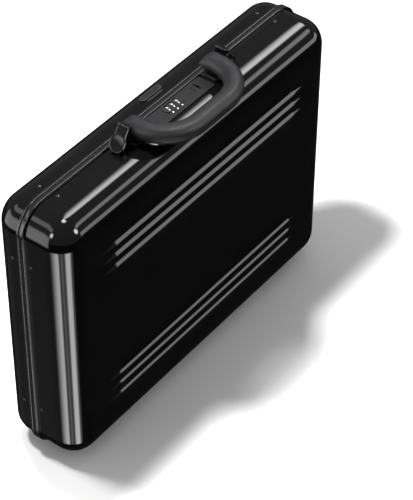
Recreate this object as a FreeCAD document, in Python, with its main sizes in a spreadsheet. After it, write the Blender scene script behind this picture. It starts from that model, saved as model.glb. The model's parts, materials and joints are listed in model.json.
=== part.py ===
import FreeCAD, Part
import os
import re
import Sketcher

# Aluminium attache case standing on its hinge side, in millimetres.
# X runs along the case's length, +Z is up, the lid is on the +Y side and the base with
# its handle and locks is on the -Y side. Pieces are drawn about the seam plane, y = 0,
# and piece() then moves each one so that the origin is the centre of the whole footprint.

SIZES = {
    # the two halves
    "case_length": 457.0,
    "case_height": 336.5,
    "base_depth": 58.8,
    "lid_depth": 39.4,
    "plan_corner": 30.5,
    "base_edge": 29.5,
    "lid_edge": 26.0,
    "wall": 1.5,
    "foot_height": 9.0,
    # frames that meet at the seam
    "seam_gap": 0.8,
    "lip_proud": 3.1,
    "base_lip": 5.0,
    "lid_lip": 3.0,
    "frame_inset": 4.6,
    "base_tongue": 12.0,
    "lid_tongue": 8.0,
    "joint_gap": 0.1,
    "gasket_inset": 1.0,
    "gasket_width": 2.0,
    "gasket_depth": 2.2,
    # pressed beads on the broad faces
    "bead_width": 10.0,
    "bead_height": 3.0,
    "bead_pitch": 15.08,
    "bead_set_offset": 93.5,
    "bead_half_length": 178.0,
    "bead_taper": 24.0,
    # lining and furnishing
    "lining_inset": 5.2,
    "lining_gap": 0.5,
    "lining_wall": 1.5,
    "pad_thickness": 4.0,
    "furnish_margin": 24.0,
    "panel_thickness": 2.4,
    "soft_gap": 0.3,
    "file_depth": 12.0,
    "pocket_margin": 12.0,
    "pocket_top_margin": 25.1,
    "panel_margin": 3.0,
    "card_depth": 5.0,
    "card_width": 150.0,
    "card_height": 88.0,
    "pen_loop_start": 38.0,
    "pen_loop_radius": 6.5,
    "pen_loop_wall": 1.2,
    "pen_loop_height": 34.0,
    "pen_loop_pitch": 26.0,
    # hinge along the lower seam
    "hinge_length": 330.0,
    "hinge_clearance": 0.4,
    "knuckle_radius": 2.5,
    "knuckle_gap": 0.3,
    "hinge_pin_radius": 1.2,
    "pin_clearance": 0.05,
    "leaf_thickness": 1.2,
    "base_leaf_reach": 20.0,
    "lid_leaf_reach": 13.0,
    "leaf_step": 6.2,
    "open_angle": 95.0,
    # feet
    "foot_offset": 184.0,
    "foot_length": 24.0,
    "base_foot_width": 18.0,
    "base_foot_centre": 18.0,
    "lid_foot_width": 7.0,
    "lid_foot_centre": 9.8,
    # handle
    "handle_offset": 67.0,
    "handle_reach": 50.0,
    "handle_bend": 44.0,
    "handle_width": 22.0,
    "handle_thickness": 20.0,
    "handle_round": 8.0,
    "handle_pivot_back": 14.0,
    "handle_pivot_up": 16.0,
    "handle_core_width": 12.0,
    "handle_core_thickness": 6.0,
    "handle_pin_radius": 2.5,
    "lug_width": 8.0,
    "lug_radius": 6.5,
    "lug_clearance": 0.4,
    "bracket_height": 4.0,
    "bracket_margin": 1.0,
    "bracket_front": 12.0,
    "bracket_length": 19.0,
    "core_start": 10.5,
    # lock console between the handle's legs
    "console_half": 53.0,
    "console_front": 28.0,
    "console_thickness": 1.6,
    "console_round": 2.0,
    "bezel_length": 27.0,
    "bezel_lap": 0.6,
    "bezel_thickness": 1.2,
    "dial_centre": -3.2,
    "dial_back": 14.0,
    "dial_pitch": 7.7,
    "dial_radius": 6.2,
    "flute_radius": 0.7,
    "dial_width": 5.0,
    "dial_proud": 0.5,
    "dial_gap": 0.12,
    "dial_window": 5.6,
    "dial_window_gap": 0.64,
    "shaft_radius": 1.5,
    "key_centre": 31.0,
    "key_back": 14.6,
    "key_radius": 4.2,
    "key_depth": 11.0,
    "slider_centre": 38.2,
    "slider_back": 15.5,
    "slider_length": 5.0,
    "slider_width": 1.8,
    "slider_travel": 5.0,
    "slider_root": 4.0,
    "slider_cap": 1.6,
    "lock_half": 32.0,
    "lock_centre": 11.0,
    "lock_front": 25.0,
    "lock_room_gap": 0.4,
    "lock_wall": 1.2,
    "lock_depth": 15.0,
    # flip latches, one beside each heel of the handle
    "latch_offset": 81.5,
    "latch_back": 15.0,
    "latch_pivot_up": 26.0,
    "latch_slope": 54.0,
    "latch_reach": 19.5,
    "latch_tongue": 10.2,
    "latch_width": 15.0,
    "latch_thickness": 2.4,
    "latch_barrel": 2.4,
    "latch_pin_radius": 1.2,
    "latch_lug_width": 6.0,
    "latch_gap": 0.4,
    "latch_inner_gap": 1.3,
    "latch_outer": 93.0,
    "catch_length": 3.0,
    "catch_width": 6.0,
    "catch_height": 1.8,
    # badge and rivets
    "badge_length": 33.0,
    "badge_width": 8.0,
    "badge_out": 17.0,
    "badge_height": 1.8,
    "badge_root": 1.6,
    "badge_bar_out": 3.4,
    "badge_bar_width": 2.4,
    "badge_bar_height": 1.2,
    "rivet_radius": 2.3,
    "rivet_height": 0.9,
    "rivet_top_offset": 183.0,
    "rivet_end_offset": 103.8,
    "base_rivet_back": 11.6,
    "lid_rivet_out": 12.6,
    # lid stays
    "stay_swing": 31.0,
    "stay_pivot_angle": 106.0,
    "stay_stud_out": 6.0,
    "stay_stud_up": 100.0,
    "stay_thickness": 1.5,
    "stay_half_width": 4.0,
    "stay_pivot_radius": 2.0,
    "stay_side_gap": 10.5,
    "stay_seat": 0.9,
}

doc = FreeCAD.newDocument("attache_case")
sheet = doc.addObject("Spreadsheet::Sheet", "Sizes")
for row, (alias, value) in enumerate(SIZES.items(), start=1):
    sheet.set("A%d" % row, alias)
    sheet.set("B%d" % row, str(value))
    sheet.setAlias("B%d" % row, alias)
doc.recompute()

# Lengths that many pieces share, written as formulas of the sheet.
TOP = "(foot_height + case_height)"
MIDDLE = "(foot_height + case_height / 2)"
AXIS_UP = "(foot_height - lip_proud)"
SEAM_Y = "((handle_pivot_back + handle_reach + handle_width / 2 - lid_depth - bead_height) / 2)"
BASE_START = "(seam_gap / 2 + base_lip + joint_gap)"
LID_START = "(seam_gap / 2 + lid_lip + joint_gap)"
BEAD_RADIUS = "((bead_width^2 / 4 + bead_height^2) / (2 * bead_height))"
LINING_INNER = "(lining_inset + lining_wall)"
BASE_FLOOR = "(base_depth - wall - lining_gap - lining_wall)"
LID_FLOOR = "(lid_depth - wall - lining_gap - lining_wall)"
STAY_SIDE = f"(case_length / 2 - {LINING_INNER} - stay_side_gap)"
STAY_PIVOT_Y = "(stay_swing * cos(stay_pivot_angle * 1deg))"
STAY_PIVOT_Z = f"({AXIS_UP} + stay_swing * sin(stay_pivot_angle * 1deg))"
DIAL_DROP = "(console_thickness + bezel_thickness + dial_proud)"
DIAL_TOP = "(bezel_thickness + dial_proud)"
DIAL_ROOM = f"(2 * (sqrt(2 * dial_radius * {DIAL_DROP} - {DIAL_DROP}^2) + dial_gap))"
DIAL_WINDOW = f"(2 * (sqrt(2 * dial_radius * {DIAL_TOP} - {DIAL_TOP}^2) + dial_window_gap))"
BEZEL_WIDTH = f"({DIAL_ROOM} + 2 * bezel_lap)"
LOCK_BACK = "(dial_back - dial_radius - lock_room_gap - lock_wall)"
DIAL_UP = f"({TOP} + console_thickness + bezel_thickness + dial_proud - dial_radius)"
HANDLE_UP = f"({TOP} + handle_pivot_up)"
LATCH_UP = f"({TOP} + latch_pivot_up)"

ALONG_X = FreeCAD.Rotation(FreeCAD.Vector(0, 1, 0), 90)
ALONG_Y = FreeCAD.Rotation(FreeCAD.Vector(1, 0, 0), -90)
UPRIGHT = FreeCAD.Rotation(
    FreeCAD.Vector(0, 1, 0), FreeCAD.Vector(0, 0, 1), FreeCAD.Vector(1, 0, 0), "ZXY"
)
NO_TURN = FreeCAD.Rotation()
KNUCKLES = 11
HINGE_RIVETS = 7
DIAL_FLUTES = 10
PEN_LOOPS = 4
pieces = []


def formula(text):
    """Put the sheet's name before each of its aliases, so that FreeCAD can read them."""
    return re.sub(
        r"[a-z][a-z_]*", lambda m: "Sizes." + m.group(0) if m.group(0) in SIZES else m.group(0), str(text)
    )


def value(text):
    """The number that a formula of the sheet gives."""
    return float(sheet.evalExpression(formula(text)))


def bind(obj, **sizes):
    """Bind the properties of an object to formulas of the sheet."""
    for name, text in sizes.items():
        obj.setExpression(name, formula(text))
    return obj


def place(obj, x=0, y=0, z=0, turn=NO_TURN):
    """Give an object its turn and bind its position to formulas."""
    obj.Placement = FreeCAD.Placement(FreeCAD.Vector(), turn)
    for axis, text in zip("xyz", (x, y, z)):
        obj.setExpression("Placement.Base." + axis, formula(text))
    return obj


def piece(obj, label, x=0, y=0, z=0, turn=NO_TURN):
    """Label a finished piece and move it from the seam's frame to the case's frame."""
    obj.Label = label
    place(obj, x, f"{y} + {SEAM_Y}", z, turn)
    pieces.append(obj)
    return obj


def block(x, y, z, dx, dy, dz):
    """A box from its lowest corner and its three sides."""
    return place(bind(doc.addObject("Part::Box", "Block"), Length=dx, Width=dy, Height=dz), x, y, z)


def centred(x, y, z, dx, dy, dz):
    """A box centred in X on x, with its lowest y and z."""
    return block(f"{x} - ({dx}) / 2", y, z, dx, dy, dz)


def rod(x, y, z, radius, length, turn=NO_TURN):
    """A cylinder from the centre of its first end."""
    return place(bind(doc.addObject("Part::Cylinder", "Rod"), Radius=radius, Height=length), x, y, z, turn)


def cone(x, y, z, first, last, length, turn=NO_TURN):
    """A cone from the centre of its first end."""
    made = doc.addObject("Part::Cone", "Cone")
    return place(bind(made, Radius1=first, Radius2=last, Height=length), x, y, z, turn)


def fuse(*shapes):
    """Join shapes into one solid."""
    made = doc.addObject("Part::MultiFuse", "Joined")
    made.Shapes = list(shapes)
    made.Refine = True
    return made


def group(*shapes):
    """Keep separate solids together as one piece, such as a set of rivets."""
    made = doc.addObject("Part::Compound", "Set")
    made.Links = list(shapes)
    return made


def cut(base, *tools):
    """Take the tools away from the base."""
    made = doc.addObject("Part::Cut", "Trimmed")
    made.Base = base
    made.Tool = tools[0] if len(tools) == 1 else fuse(*tools)
    return made


def rounded_outline(sketch, width, height, radius):
    """A fully constrained rounded rectangle about the sketch's origin."""
    w = value(width) / 2
    h = value(height) / 2
    r = value(radius)
    corner = FreeCAD.Vector
    starts = (corner(-w + r, -h, 0), corner(w, -h + r, 0), corner(w - r, h, 0), corner(-w, h - r, 0))
    ends = (corner(w - r, -h, 0), corner(w, h - r, 0), corner(-w + r, h, 0), corner(-w, -h + r, 0))
    low, high = -h + r, h - r
    centres = (corner(w - r, low, 0), corner(w - r, high, 0), corner(r - w, high, 0), corner(r - w, low, 0))
    quarter = 1.5707963267948966
    for start, end in zip(starts, ends):
        sketch.addGeometry(Part.LineSegment(start, end))
    for index, centre in enumerate(centres):
        arc = Part.Circle(centre, corner(0, 0, 1), r)
        sketch.addGeometry(Part.ArcOfCircle(arc, (index - 1) * quarter, index * quarter))
    from_sketch = Sketcher.Constraint
    for side in range(4):
        sketch.addConstraint(from_sketch("Tangent", side, 2, side + 4, 1))
        sketch.addConstraint(from_sketch("Tangent", side + 4, 2, (side + 1) % 4, 1))
        sketch.addConstraint(from_sketch("Vertical" if side % 2 else "Horizontal", side))
    for side in range(1, 4):
        sketch.addConstraint(from_sketch("Equal", 4, side + 4))
    named = (
        ("Corner", from_sketch("Radius", 4, r), radius),
        ("HalfWidth", from_sketch("DistanceX", -1, 1, 1, 1, w), f"({width}) / 2"),
        ("Width", from_sketch("DistanceX", 3, 1, 1, 1, 2 * w), width),
        ("HalfHeight", from_sketch("DistanceY", -1, 1, 2, 1, h), f"({height}) / 2"),
        ("Height", from_sketch("DistanceY", 0, 1, 2, 1, 2 * h), height),
    )
    for name, constraint, text in named:
        sketch.renameConstraint(sketch.addConstraint(constraint), name)
        sketch.setExpression("Constraints." + name, formula(text))


def rounded_plate(width, height, radius, depth, plane="XZ_Plane", outward=False, edge=None):
    """A plate with rounded corners, and with its far rim rounded too where edge is given.
    On XZ it grows towards -Y, or +Y when outward; on XY it grows up."""
    body = doc.addObject("PartDesign::Body", "Plate")
    origin_plane = [f for f in body.Origin.OriginFeatures if f.Role == plane][0]
    sketch = body.newObject("Sketcher::SketchObject", "Outline")
    sketch.AttachmentSupport = [(origin_plane, "")]
    sketch.MapMode = "FlatFace"
    rounded_outline(sketch, width, height, radius)
    pad = body.newObject("PartDesign::Pad", "Depth")
    pad.Profile = sketch
    pad.setExpression("Length", formula(depth))
    pad.Reversed = outward
    doc.recompute()
    if edge is not None:
        far = value(depth) * (1 if outward else -1)
        rim = [
            "Edge%d" % (i + 1)
            for i, e in enumerate(pad.Shape.Edges)
            if max(abs(v.Y - far) for v in e.Vertexes) < 0.01
        ]
        rounding = body.newObject("PartDesign::Fillet", "Rounding")
        rounding.Base = (pad, rim)
        rounding.setExpression("Radius", formula(edge))
        doc.recompute()
    return body


def case_block(inset, start, end, edge=None, outward=False):
    """The case's outline moved in by inset, from start to end away from the seam."""
    made = rounded_plate(
        f"case_length - 2 * ({inset})",
        f"case_height - 2 * ({inset})",
        f"plan_corner - ({inset})",
        f"{end} - ({start})",
        outward=outward,
        edge=edge,
    )
    return place(made, 0, start if outward else f"-({start})", MIDDLE)


def bead_spindles(face, sign, shrink):
    """The six round bars that leave the beads standing out of a broad face."""
    bars = []
    straight = "(bead_half_length - bead_taper)"
    radius = f"({BEAD_RADIUS} - {shrink})"
    tip = f"({BEAD_RADIUS} - bead_height - {shrink} + 0.05)"
    y = f"{sign} * ({face} + bead_height - {BEAD_RADIUS})"
    for side in (-1, 1):
        for row in (-1, 0, 1):
            z = f"{MIDDLE} + {side} * bead_set_offset + {row} * bead_pitch"
            bars.append(rod(f"-{straight}", y, z, radius, f"2 * {straight}", ALONG_X))
            bars.append(cone(straight, y, z, radius, tip, "bead_taper", ALONG_X))
            bars.append(cone("-bead_half_length", y, z, tip, radius, "bead_taper", ALONG_X))
    return bars


def shell(start, depth, edge, sign, extra_cuts=()):
    """One drawn half of the case, with its beads pressed out of the sheet."""
    outward = sign > 0
    outer = case_block(0, start, depth, edge, outward)
    cavity = case_block("wall", start, f"{depth} - wall", f"{edge} - wall", outward)
    skin = fuse(outer, *bead_spindles(depth, sign, 0))
    return cut(skin, cavity, *bead_spindles(depth, sign, "wall"), *extra_cuts)


def seam_frame(lip, tongue, sign, extra_cuts=()):
    """The extruded rim of one half: a proud lip at the seam and a tongue inside the shell."""
    outward = sign > 0
    lip_end = f"(seam_gap / 2 + {lip})"
    tongue_end = f"({lip_end} + {tongue})"
    lip_ring = cut(
        case_block("-lip_proud", "seam_gap / 2", lip_end, None, outward),
        case_block("frame_inset", "seam_gap / 2", lip_end, None, outward),
    )
    tongue_ring = cut(
        case_block("wall + joint_gap", lip_end, tongue_end, None, outward),
        case_block("frame_inset", lip_end, tongue_end, None, outward),
    )
    hinge_relief = rod(
        "-hinge_length / 2 - 1", 0, AXIS_UP, "knuckle_radius + hinge_clearance", "hinge_length + 2", ALONG_X
    )
    return cut(fuse(lip_ring, tongue_ring), hinge_relief, *extra_cuts)


def lock_space():
    """The opening that the lock case fills in the shell, the frame and the lining."""
    back = f"min(seam_gap / 2 + base_lip; {LOCK_BACK} - joint_gap)"
    return centred(
        "lock_centre",
        "-lock_front - joint_gap",
        f"{TOP} - lock_depth - joint_gap",
        "2 * lock_half + 2 * joint_gap",
        f"lock_front + joint_gap - {back}",
        "lock_depth + 2 * wall",
    )


# --- the base half -----------------------------------------------------------------------

def make_base():
    piece(shell(BASE_START, "base_depth", "base_edge", -1, [lock_space()]), "base_shell")
    seat, groove_end = "seam_gap / 2", "seam_gap / 2 + gasket_depth"
    groove = cut(
        case_block("gasket_inset - joint_gap / 2", seat, groove_end),
        case_block("gasket_inset + gasket_width + joint_gap / 2", seat, groove_end),
    )
    piece(seam_frame("base_lip", "base_tongue", -1, [groove, lock_space()]), "base_frame")
    gasket_outer = case_block("gasket_inset", 0, groove_end)
    gasket_inner = case_block("gasket_inset + gasket_width", 0, groove_end)
    piece(cut(gasket_outer, gasket_inner), "gasket")
    lining_outer = case_block(
        "lining_inset", "seam_gap / 2 + wall", "base_depth - wall - lining_gap", "base_edge - lining_inset"
    )
    lining_inner = case_block(
        LINING_INNER, "seam_gap / 2 + wall", BASE_FLOOR, f"base_edge - {LINING_INNER}"
    )
    piece(cut(lining_outer, lining_inner, lock_space()), "base_lining")
    pad = rounded_plate(
        "case_length - 2 * (lining_inset + furnish_margin)",
        "case_height - 2 * (lining_inset + furnish_margin)",
        "8",
        "pad_thickness",
        outward=True,
    )
    piece(pad, "base_pad", 0, f"soft_gap - {BASE_FLOOR}", MIDDLE)


def make_lid():
    piece(shell(LID_START, "lid_depth", "lid_edge", 1), "lid_shell")
    piece(seam_frame("lid_lip", "lid_tongue", 1), "lid_frame")
    lining_outer = case_block("lining_inset", "seam_gap / 2 + wall", "lid_depth - wall - lining_gap",
                              "lid_edge - lining_inset", True)
    lining_inner = case_block(
        LINING_INNER, "seam_gap / 2 + wall", LID_FLOOR, f"lid_edge - {LINING_INNER}", True
    )
    piece(cut(lining_outer, lining_inner), "lid_lining")


# --- the hinge and the feet --------------------------------------------------------------

def hinge_leaf(sign, first, reach, label):
    """A stepped leaf under one rim, with every second knuckle of the hinge."""
    low = f"({AXIS_UP} - leaf_thickness)"
    inner = "(knuckle_radius + hinge_clearance)"

    def strip(near, far, bottom, height):
        start = near if sign > 0 else f"-({far})"
        return block("-hinge_length / 2", start, bottom, "hinge_length", f"({far}) - ({near})", height)

    parts = [
        strip(inner, "leaf_step + leaf_thickness", low, "leaf_thickness"),
        strip("leaf_step", "leaf_step + leaf_thickness", low, "lip_proud + leaf_thickness"),
        strip("leaf_step", reach, "foot_height - leaf_thickness", "leaf_thickness"),
    ]
    pitch = f"(hinge_length / {KNUCKLES})"
    for index in range(first, KNUCKLES, 2):
        x = f"({index} * {pitch} - hinge_length / 2 + knuckle_gap / 2)"
        length = f"({pitch} - knuckle_gap)"
        parts.append(rod(x, 0, AXIS_UP, "knuckle_radius", length, ALONG_X))
        tab_start = "0" if sign > 0 else f"-({inner} + 0.5)"
        parts.append(block(x, tab_start, low, length, f"{inner} + 0.5", "leaf_thickness"))
    bore = rod("-hinge_length / 2 - 1", 0, AXIS_UP, "hinge_pin_radius + pin_clearance",
               "hinge_length + 2", ALONG_X)
    piece(cut(fuse(*parts), bore), label)


def hinge_rivets(sign, reach, label):
    """Rivet heads under the leaf, in a row between its step and its free edge."""
    y = f"{sign} * (leaf_step + leaf_thickness + {reach}) / 2"
    heads = []
    for index in range(HINGE_RIVETS):
        x = f"({index} - {(HINGE_RIVETS - 1) / 2}) * hinge_length / {HINGE_RIVETS}"
        heads.append(cone(x, y, "foot_height - leaf_thickness - 0.8", "1.2", "1.9", "0.8"))
    piece(group(*heads), label)


def feet(sign, centre, width, label):
    """The two rubber feet under one half."""
    made = []
    for side in (-1, 1):
        foot = rounded_plate("foot_length", width, f"{width} / 2.4", "foot_height", "XY_Plane")
        made.append(place(foot, f"{side} * foot_offset", f"{sign} * {centre}", 0))
    piece(group(*made), label)


def make_hinge_and_feet():
    hinge_leaf(-1, 0, "base_leaf_reach", "hinge_leaf_base")
    hinge_leaf(1, 1, "lid_leaf_reach", "hinge_leaf_lid")
    piece(rod("-hinge_length / 2", 0, AXIS_UP, "hinge_pin_radius", "hinge_length", ALONG_X), "hinge_pin",
          "-hinge_length / 2", 0, AXIS_UP, ALONG_X)
    hinge_rivets(-1, "base_leaf_reach", "hinge_rivets_base")
    hinge_rivets(1, "lid_leaf_reach", "hinge_rivets_lid")
    feet(-1, "base_foot_centre", "base_foot_width", "base_feet")
    feet(1, "lid_foot_centre", "lid_foot_width", "lid_feet")


# --- rivets and badge --------------------------------------------------------------------

def frame_rivets(sign, away, label):
    """Domed rivet heads that hold one frame to its shell, on the top, bottom and ends."""
    y = f"{sign} * {away}"
    heads = []
    for side in (-1, 1):
        heads.append(cone(f"{side} * rivet_top_offset", y, TOP,
                          "rivet_radius", "rivet_radius * 0.55", "rivet_height"))
        for up in (-1, 1):
            z = f"{MIDDLE} + {up} * rivet_end_offset"
            turn = FreeCAD.Rotation(FreeCAD.Vector(0, 1, 0), 90 * side)
            heads.append(cone(f"{side} * case_length / 2", y, z,
                              "rivet_radius", "rivet_radius * 0.55", "rivet_height", turn))
    piece(group(*heads), label)


def make_trim():
    frame_rivets(-1, "base_rivet_back", "base_rivets")
    frame_rivets(1, "lid_rivet_out", "lid_rivets")
    plate = rounded_plate("badge_length", "badge_width", "badge_width / 2.2", "badge_height + badge_root",
                          "XY_Plane")
    place(plate, 0, "badge_out", f"{TOP} - badge_root")
    bar = centred(0, "badge_out - badge_width / 2 - badge_bar_out", f"{TOP} - 0.2", "badge_length * 0.75",
                  "badge_bar_width", "badge_bar_height")
    under = case_block(0, LID_START, "lid_depth", "lid_edge", True)
    piece(cut(group(plate, bar), under), "badge")


# --- the lock console --------------------------------------------------------------------

def console_bores():
    """The console's openings: dials, key and slider."""
    dial_room = centred(
        "dial_centre", f"-dial_back - {DIAL_ROOM} / 2", f"{TOP} - 1",
        "3 * dial_pitch", DIAL_ROOM, "console_thickness + 2",
    )
    key_bore = rod("key_centre", "-key_back", f"{TOP} - 1", "key_radius + pin_clearance",
                   "console_thickness + 2")
    slot = slider_slot(f"{TOP} - 1", "console_thickness + 2")
    return [dial_room, key_bore, slot]


def slider_slot(z, height):
    """The slot that the slider's button travels in."""
    return centred(
        "slider_centre", "-slider_back - slider_length / 2 - slider_travel / 2 - soft_gap", z,
        "slider_width + 0.5", "slider_length + slider_travel + 2 * soft_gap", height,
    )


def make_console():
    plate = rounded_plate("2 * console_half", f"console_front - {BASE_START}", "console_round",
                          "console_thickness", "XY_Plane")
    place(plate, 0, f"-(console_front + {BASE_START}) / 2", TOP)
    piece(cut(plate, *console_bores()), "lock_console")
    bezel = rounded_plate("bezel_length", BEZEL_WIDTH, f"{BEZEL_WIDTH} / 2.3", "bezel_thickness", "XY_Plane")
    place(bezel, "dial_centre", "-dial_back", f"{TOP} + console_thickness")
    windows = [
        centred(f"dial_centre + {n} * dial_pitch", f"-dial_back - {DIAL_WINDOW} / 2", TOP,
                "dial_window", DIAL_WINDOW, "console_thickness + bezel_thickness + 2")
        for n in (-1, 0, 1)
    ]
    piece(cut(bezel, *windows), "dial_bezel")
    marks = []
    for n in (-1, 0, 1):
        mark = doc.addObject("Part::Prism", "Mark")
        bind(mark, Circumradius=1.3, Height=0.3)
        mark.Polygon = 3
        turn = FreeCAD.Rotation(FreeCAD.Vector(0, 0, 1), 90)
        marks.append(place(mark, f"dial_centre + {n} * dial_pitch", f"-dial_back - {BEZEL_WIDTH} / 2 - 1.9",
                           f"{TOP} + console_thickness", turn))
    piece(group(*marks), "dial_markers")


def make_lock_case():
    case = centred("lock_centre", "-lock_front", f"{TOP} - lock_depth", "2 * lock_half",
                   f"lock_front - {LOCK_BACK}", "lock_depth")
    room_right = f"(dial_centre + 1.5 * dial_pitch + 1)"
    room_left = f"(dial_centre - 1.5 * dial_pitch - 1)"
    room = block(room_left, "-lock_front + lock_wall", f"{TOP} - lock_depth + lock_wall",
                 f"{room_right} - {room_left}", f"lock_front - {LOCK_BACK} - 2 * lock_wall", "lock_depth")
    shaft_bore = rod(f"{room_left} - 2", "-dial_back", DIAL_UP, "shaft_radius + 0.01",
                     f"{room_right} - {room_left} + 4", ALONG_X)
    key_bore = rod("key_centre", "-key_back", f"{TOP} - key_depth", "key_radius + pin_clearance",
                   "key_depth + 1")
    slot = slider_slot(f"{TOP} - slider_root - 1", "slider_root + 2")
    piece(cut(case, room, shaft_bore, key_bore, slot), "lock_case")
    length = f"({room_right} - {room_left} + 3.6)"
    shaft = doc.addObject("Part::Cylinder", "Shaft")
    piece(shaft, "dial_shaft", f"{room_left} - 1.8", "-dial_back", DIAL_UP, ALONG_X)
    bind(shaft, Radius="shaft_radius", Height=length)


def make_dials():
    """Three numbered wheels with a fluted rim, each free to turn on the shaft."""
    for n in (-1, 0, 1):
        x = f"dial_centre + {n} * dial_pitch - dial_width / 2"
        wheel = rod(0, 0, 0, "dial_radius", "dial_width")
        bore = rod(0, 0, -1, "shaft_radius + pin_clearance", "dial_width + 2")
        flutes = []
        for step in range(DIAL_FLUTES):
            angle = 360 / DIAL_FLUTES * step
            across = f"(dial_radius + 0.35) * cos({angle}deg)"
            up = f"(dial_radius + 0.35) * sin({angle}deg)"
            flutes.append(rod(across, up, -1, "flute_radius", "dial_width + 2"))
        piece(cut(wheel, bore, *flutes), "dial_%d" % (n + 2), x, "-dial_back", DIAL_UP, ALONG_X)


def make_key_and_slider():
    barrel = rod(0, 0, "0.3", "key_radius", "key_depth + console_thickness + 0.6")
    keyway = centred(0, "-key_radius * 0.62", "key_depth - 3", "1", "key_radius * 1.24", "8")
    piece(cut(barrel, keyway), "key_cylinder", "key_centre", "-key_back", f"{TOP} - key_depth")
    stem = centred(0, "-slider_length / 2", 0, "slider_width", "slider_length",
                   "slider_root + console_thickness + slider_cap")
    cap = centred(0, "-slider_length / 2", "slider_root + console_thickness + 0.5", "slider_width + 0.4",
                  "slider_length", "slider_cap")
    piece(fuse(stem, cap), "lock_slider", "slider_centre", "-slider_back + slider_travel / 2",
          f"{TOP} - slider_root")


# --- the handle --------------------------------------------------------------------------

def bail(width, thickness, radius, start=None):
    """A bar that follows the handle's U, drawn about the pivot, with its legs towards -Y.
    Its legs begin at start in front of the pivot. With no start they end in a half round
    about the pivot, so that they turn clear of what is behind them."""
    at = FreeCAD.Vector
    half = value("handle_offset")
    bend = value("handle_bend")
    leg_end = bend - value("handle_reach")
    w = value(width)
    t = value(thickness)
    bar = Part.makeBox(w, 1, t, at(-w / 2, 0, -t / 2))
    long_edges = [e for e in bar.Edges if abs(e.Vertexes[0].Y - e.Vertexes[1].Y) > 0.5]
    rounded = bar.makeFillet(value(radius), long_edges)
    section = [f for f in rounded.Faces if abs(f.CenterOfMass.y) < 1e-6][0]
    section.translate(at(-half, leg_end, 0))
    leg = section.extrude(at(0, t - leg_end, 0))
    pivot = at(bend - half, leg_end, 0)
    corner = section.revolve(pivot, at(0, 0, 1), 90)
    front_section = section.copy()
    front_section.rotate(pivot, at(0, 0, 1), 90)
    front = front_section.extrude(at(half - bend, 0, 0))
    left = leg.fuse([corner, front])
    bar = left.fuse(left.mirror(at(0, 0, 0), at(1, 0, 0))).removeSplitter().Solids[0]
    behind = Part.makeBox(4 * half, 4 * t, 2 * t, at(-2 * half, 0, -t))
    if start is None:
        swing = Part.makeCylinder(t / 2 + 0.05, 4 * half, at(-2 * half, 0, 0), at(1, 0, 0))
        behind = behind.cut(swing)
    else:
        behind.translate(at(0, -value(start), 0))
    bar = bar.cut(behind)
    made = doc.addObject("Part::Feature", "Bail")
    made.Shape = bar
    return made


def make_handle():
    grip = bail("handle_width", "handle_thickness", "handle_round")
    rooms = []
    for side in (-1, 1):
        x = f"({side} * handle_offset)"
        room = "(lug_radius + 2 * lug_clearance)"
        rooms.append(centred(x, f"-{room}", "-handle_thickness", "lug_width + 2 * lug_clearance",
                             "handle_thickness * 2", f"handle_thickness + {room}"))
        rooms.append(rod(f"{x} - handle_width", 0, 0, "handle_pin_radius + pin_clearance",
                         "2 * handle_width", ALONG_X))
    core = bail("handle_core_width", "handle_core_thickness", "1.5", "core_start")
    hollow = bail("handle_core_width", "handle_core_thickness", "1.5", "core_start")
    piece(cut(grip, hollow, *rooms), "handle_grip", 0, "-handle_pivot_back", HANDLE_UP)
    piece(core, "handle_core", 0, "-handle_pivot_back", HANDLE_UP)
    for side, name in ((-1, "left"), (1, "right")):
        x = f"({side} * handle_offset)"
        plate = centred(x, "-handle_pivot_back - bracket_front", TOP, "handle_width + 2 * bracket_margin",
                        "bracket_length", "bracket_height")
        stem = centred(x, "-handle_pivot_back - lug_radius", TOP, "lug_width", "2 * lug_radius",
                       "handle_pivot_up")
        lug = rod(f"{x} - lug_width / 2", "-handle_pivot_back", HANDLE_UP, "lug_radius", "lug_width",
                  ALONG_X)
        hole = rod(f"{x} - lug_width", "-handle_pivot_back", HANDLE_UP, "handle_pin_radius + 0.01",
                   "2 * lug_width", ALONG_X)
        piece(cut(fuse(plate, stem, lug), hole), "handle_bracket_" + name)
        pin = doc.addObject("Part::Cylinder", "Pin")
        bind(pin, Radius="handle_pin_radius", Height="handle_width - 0.6")
        pin_start = f"{x} - handle_width / 2 + 0.3"
        piece(pin, "handle_pin_" + name, pin_start, "-handle_pivot_back", HANDLE_UP, ALONG_X)


# --- the latches -------------------------------------------------------------------------

def latch_blade(side):
    """The lever lying level and reaching outwards from its pin at the local origin."""
    arm_start = "-latch_reach" if side < 0 else "0"
    arm = block(arm_start, "-latch_width / 2", "-latch_thickness / 2", "latch_reach", "latch_width",
                "latch_thickness")
    tongue = rod(f"{side} * latch_reach", 0, "-latch_thickness / 2", "latch_tongue", "latch_thickness")
    barrel = rod(0, "-latch_width / 2", 0, "latch_barrel", "latch_width", ALONG_Y)
    lug_room = block(
        "-latch_barrel - latch_gap", "-latch_lug_width / 2 - latch_gap", "-latch_barrel - latch_gap",
        "2 * (latch_barrel + latch_gap)", "latch_lug_width + 2 * latch_gap", "2 * (latch_barrel + latch_gap)",
    )
    bore = rod(0, "-latch_width", 0, "latch_pin_radius + pin_clearance", "2 * latch_width", ALONG_Y)
    return cut(fuse(arm, tongue, barrel), lug_room, bore)


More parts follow.
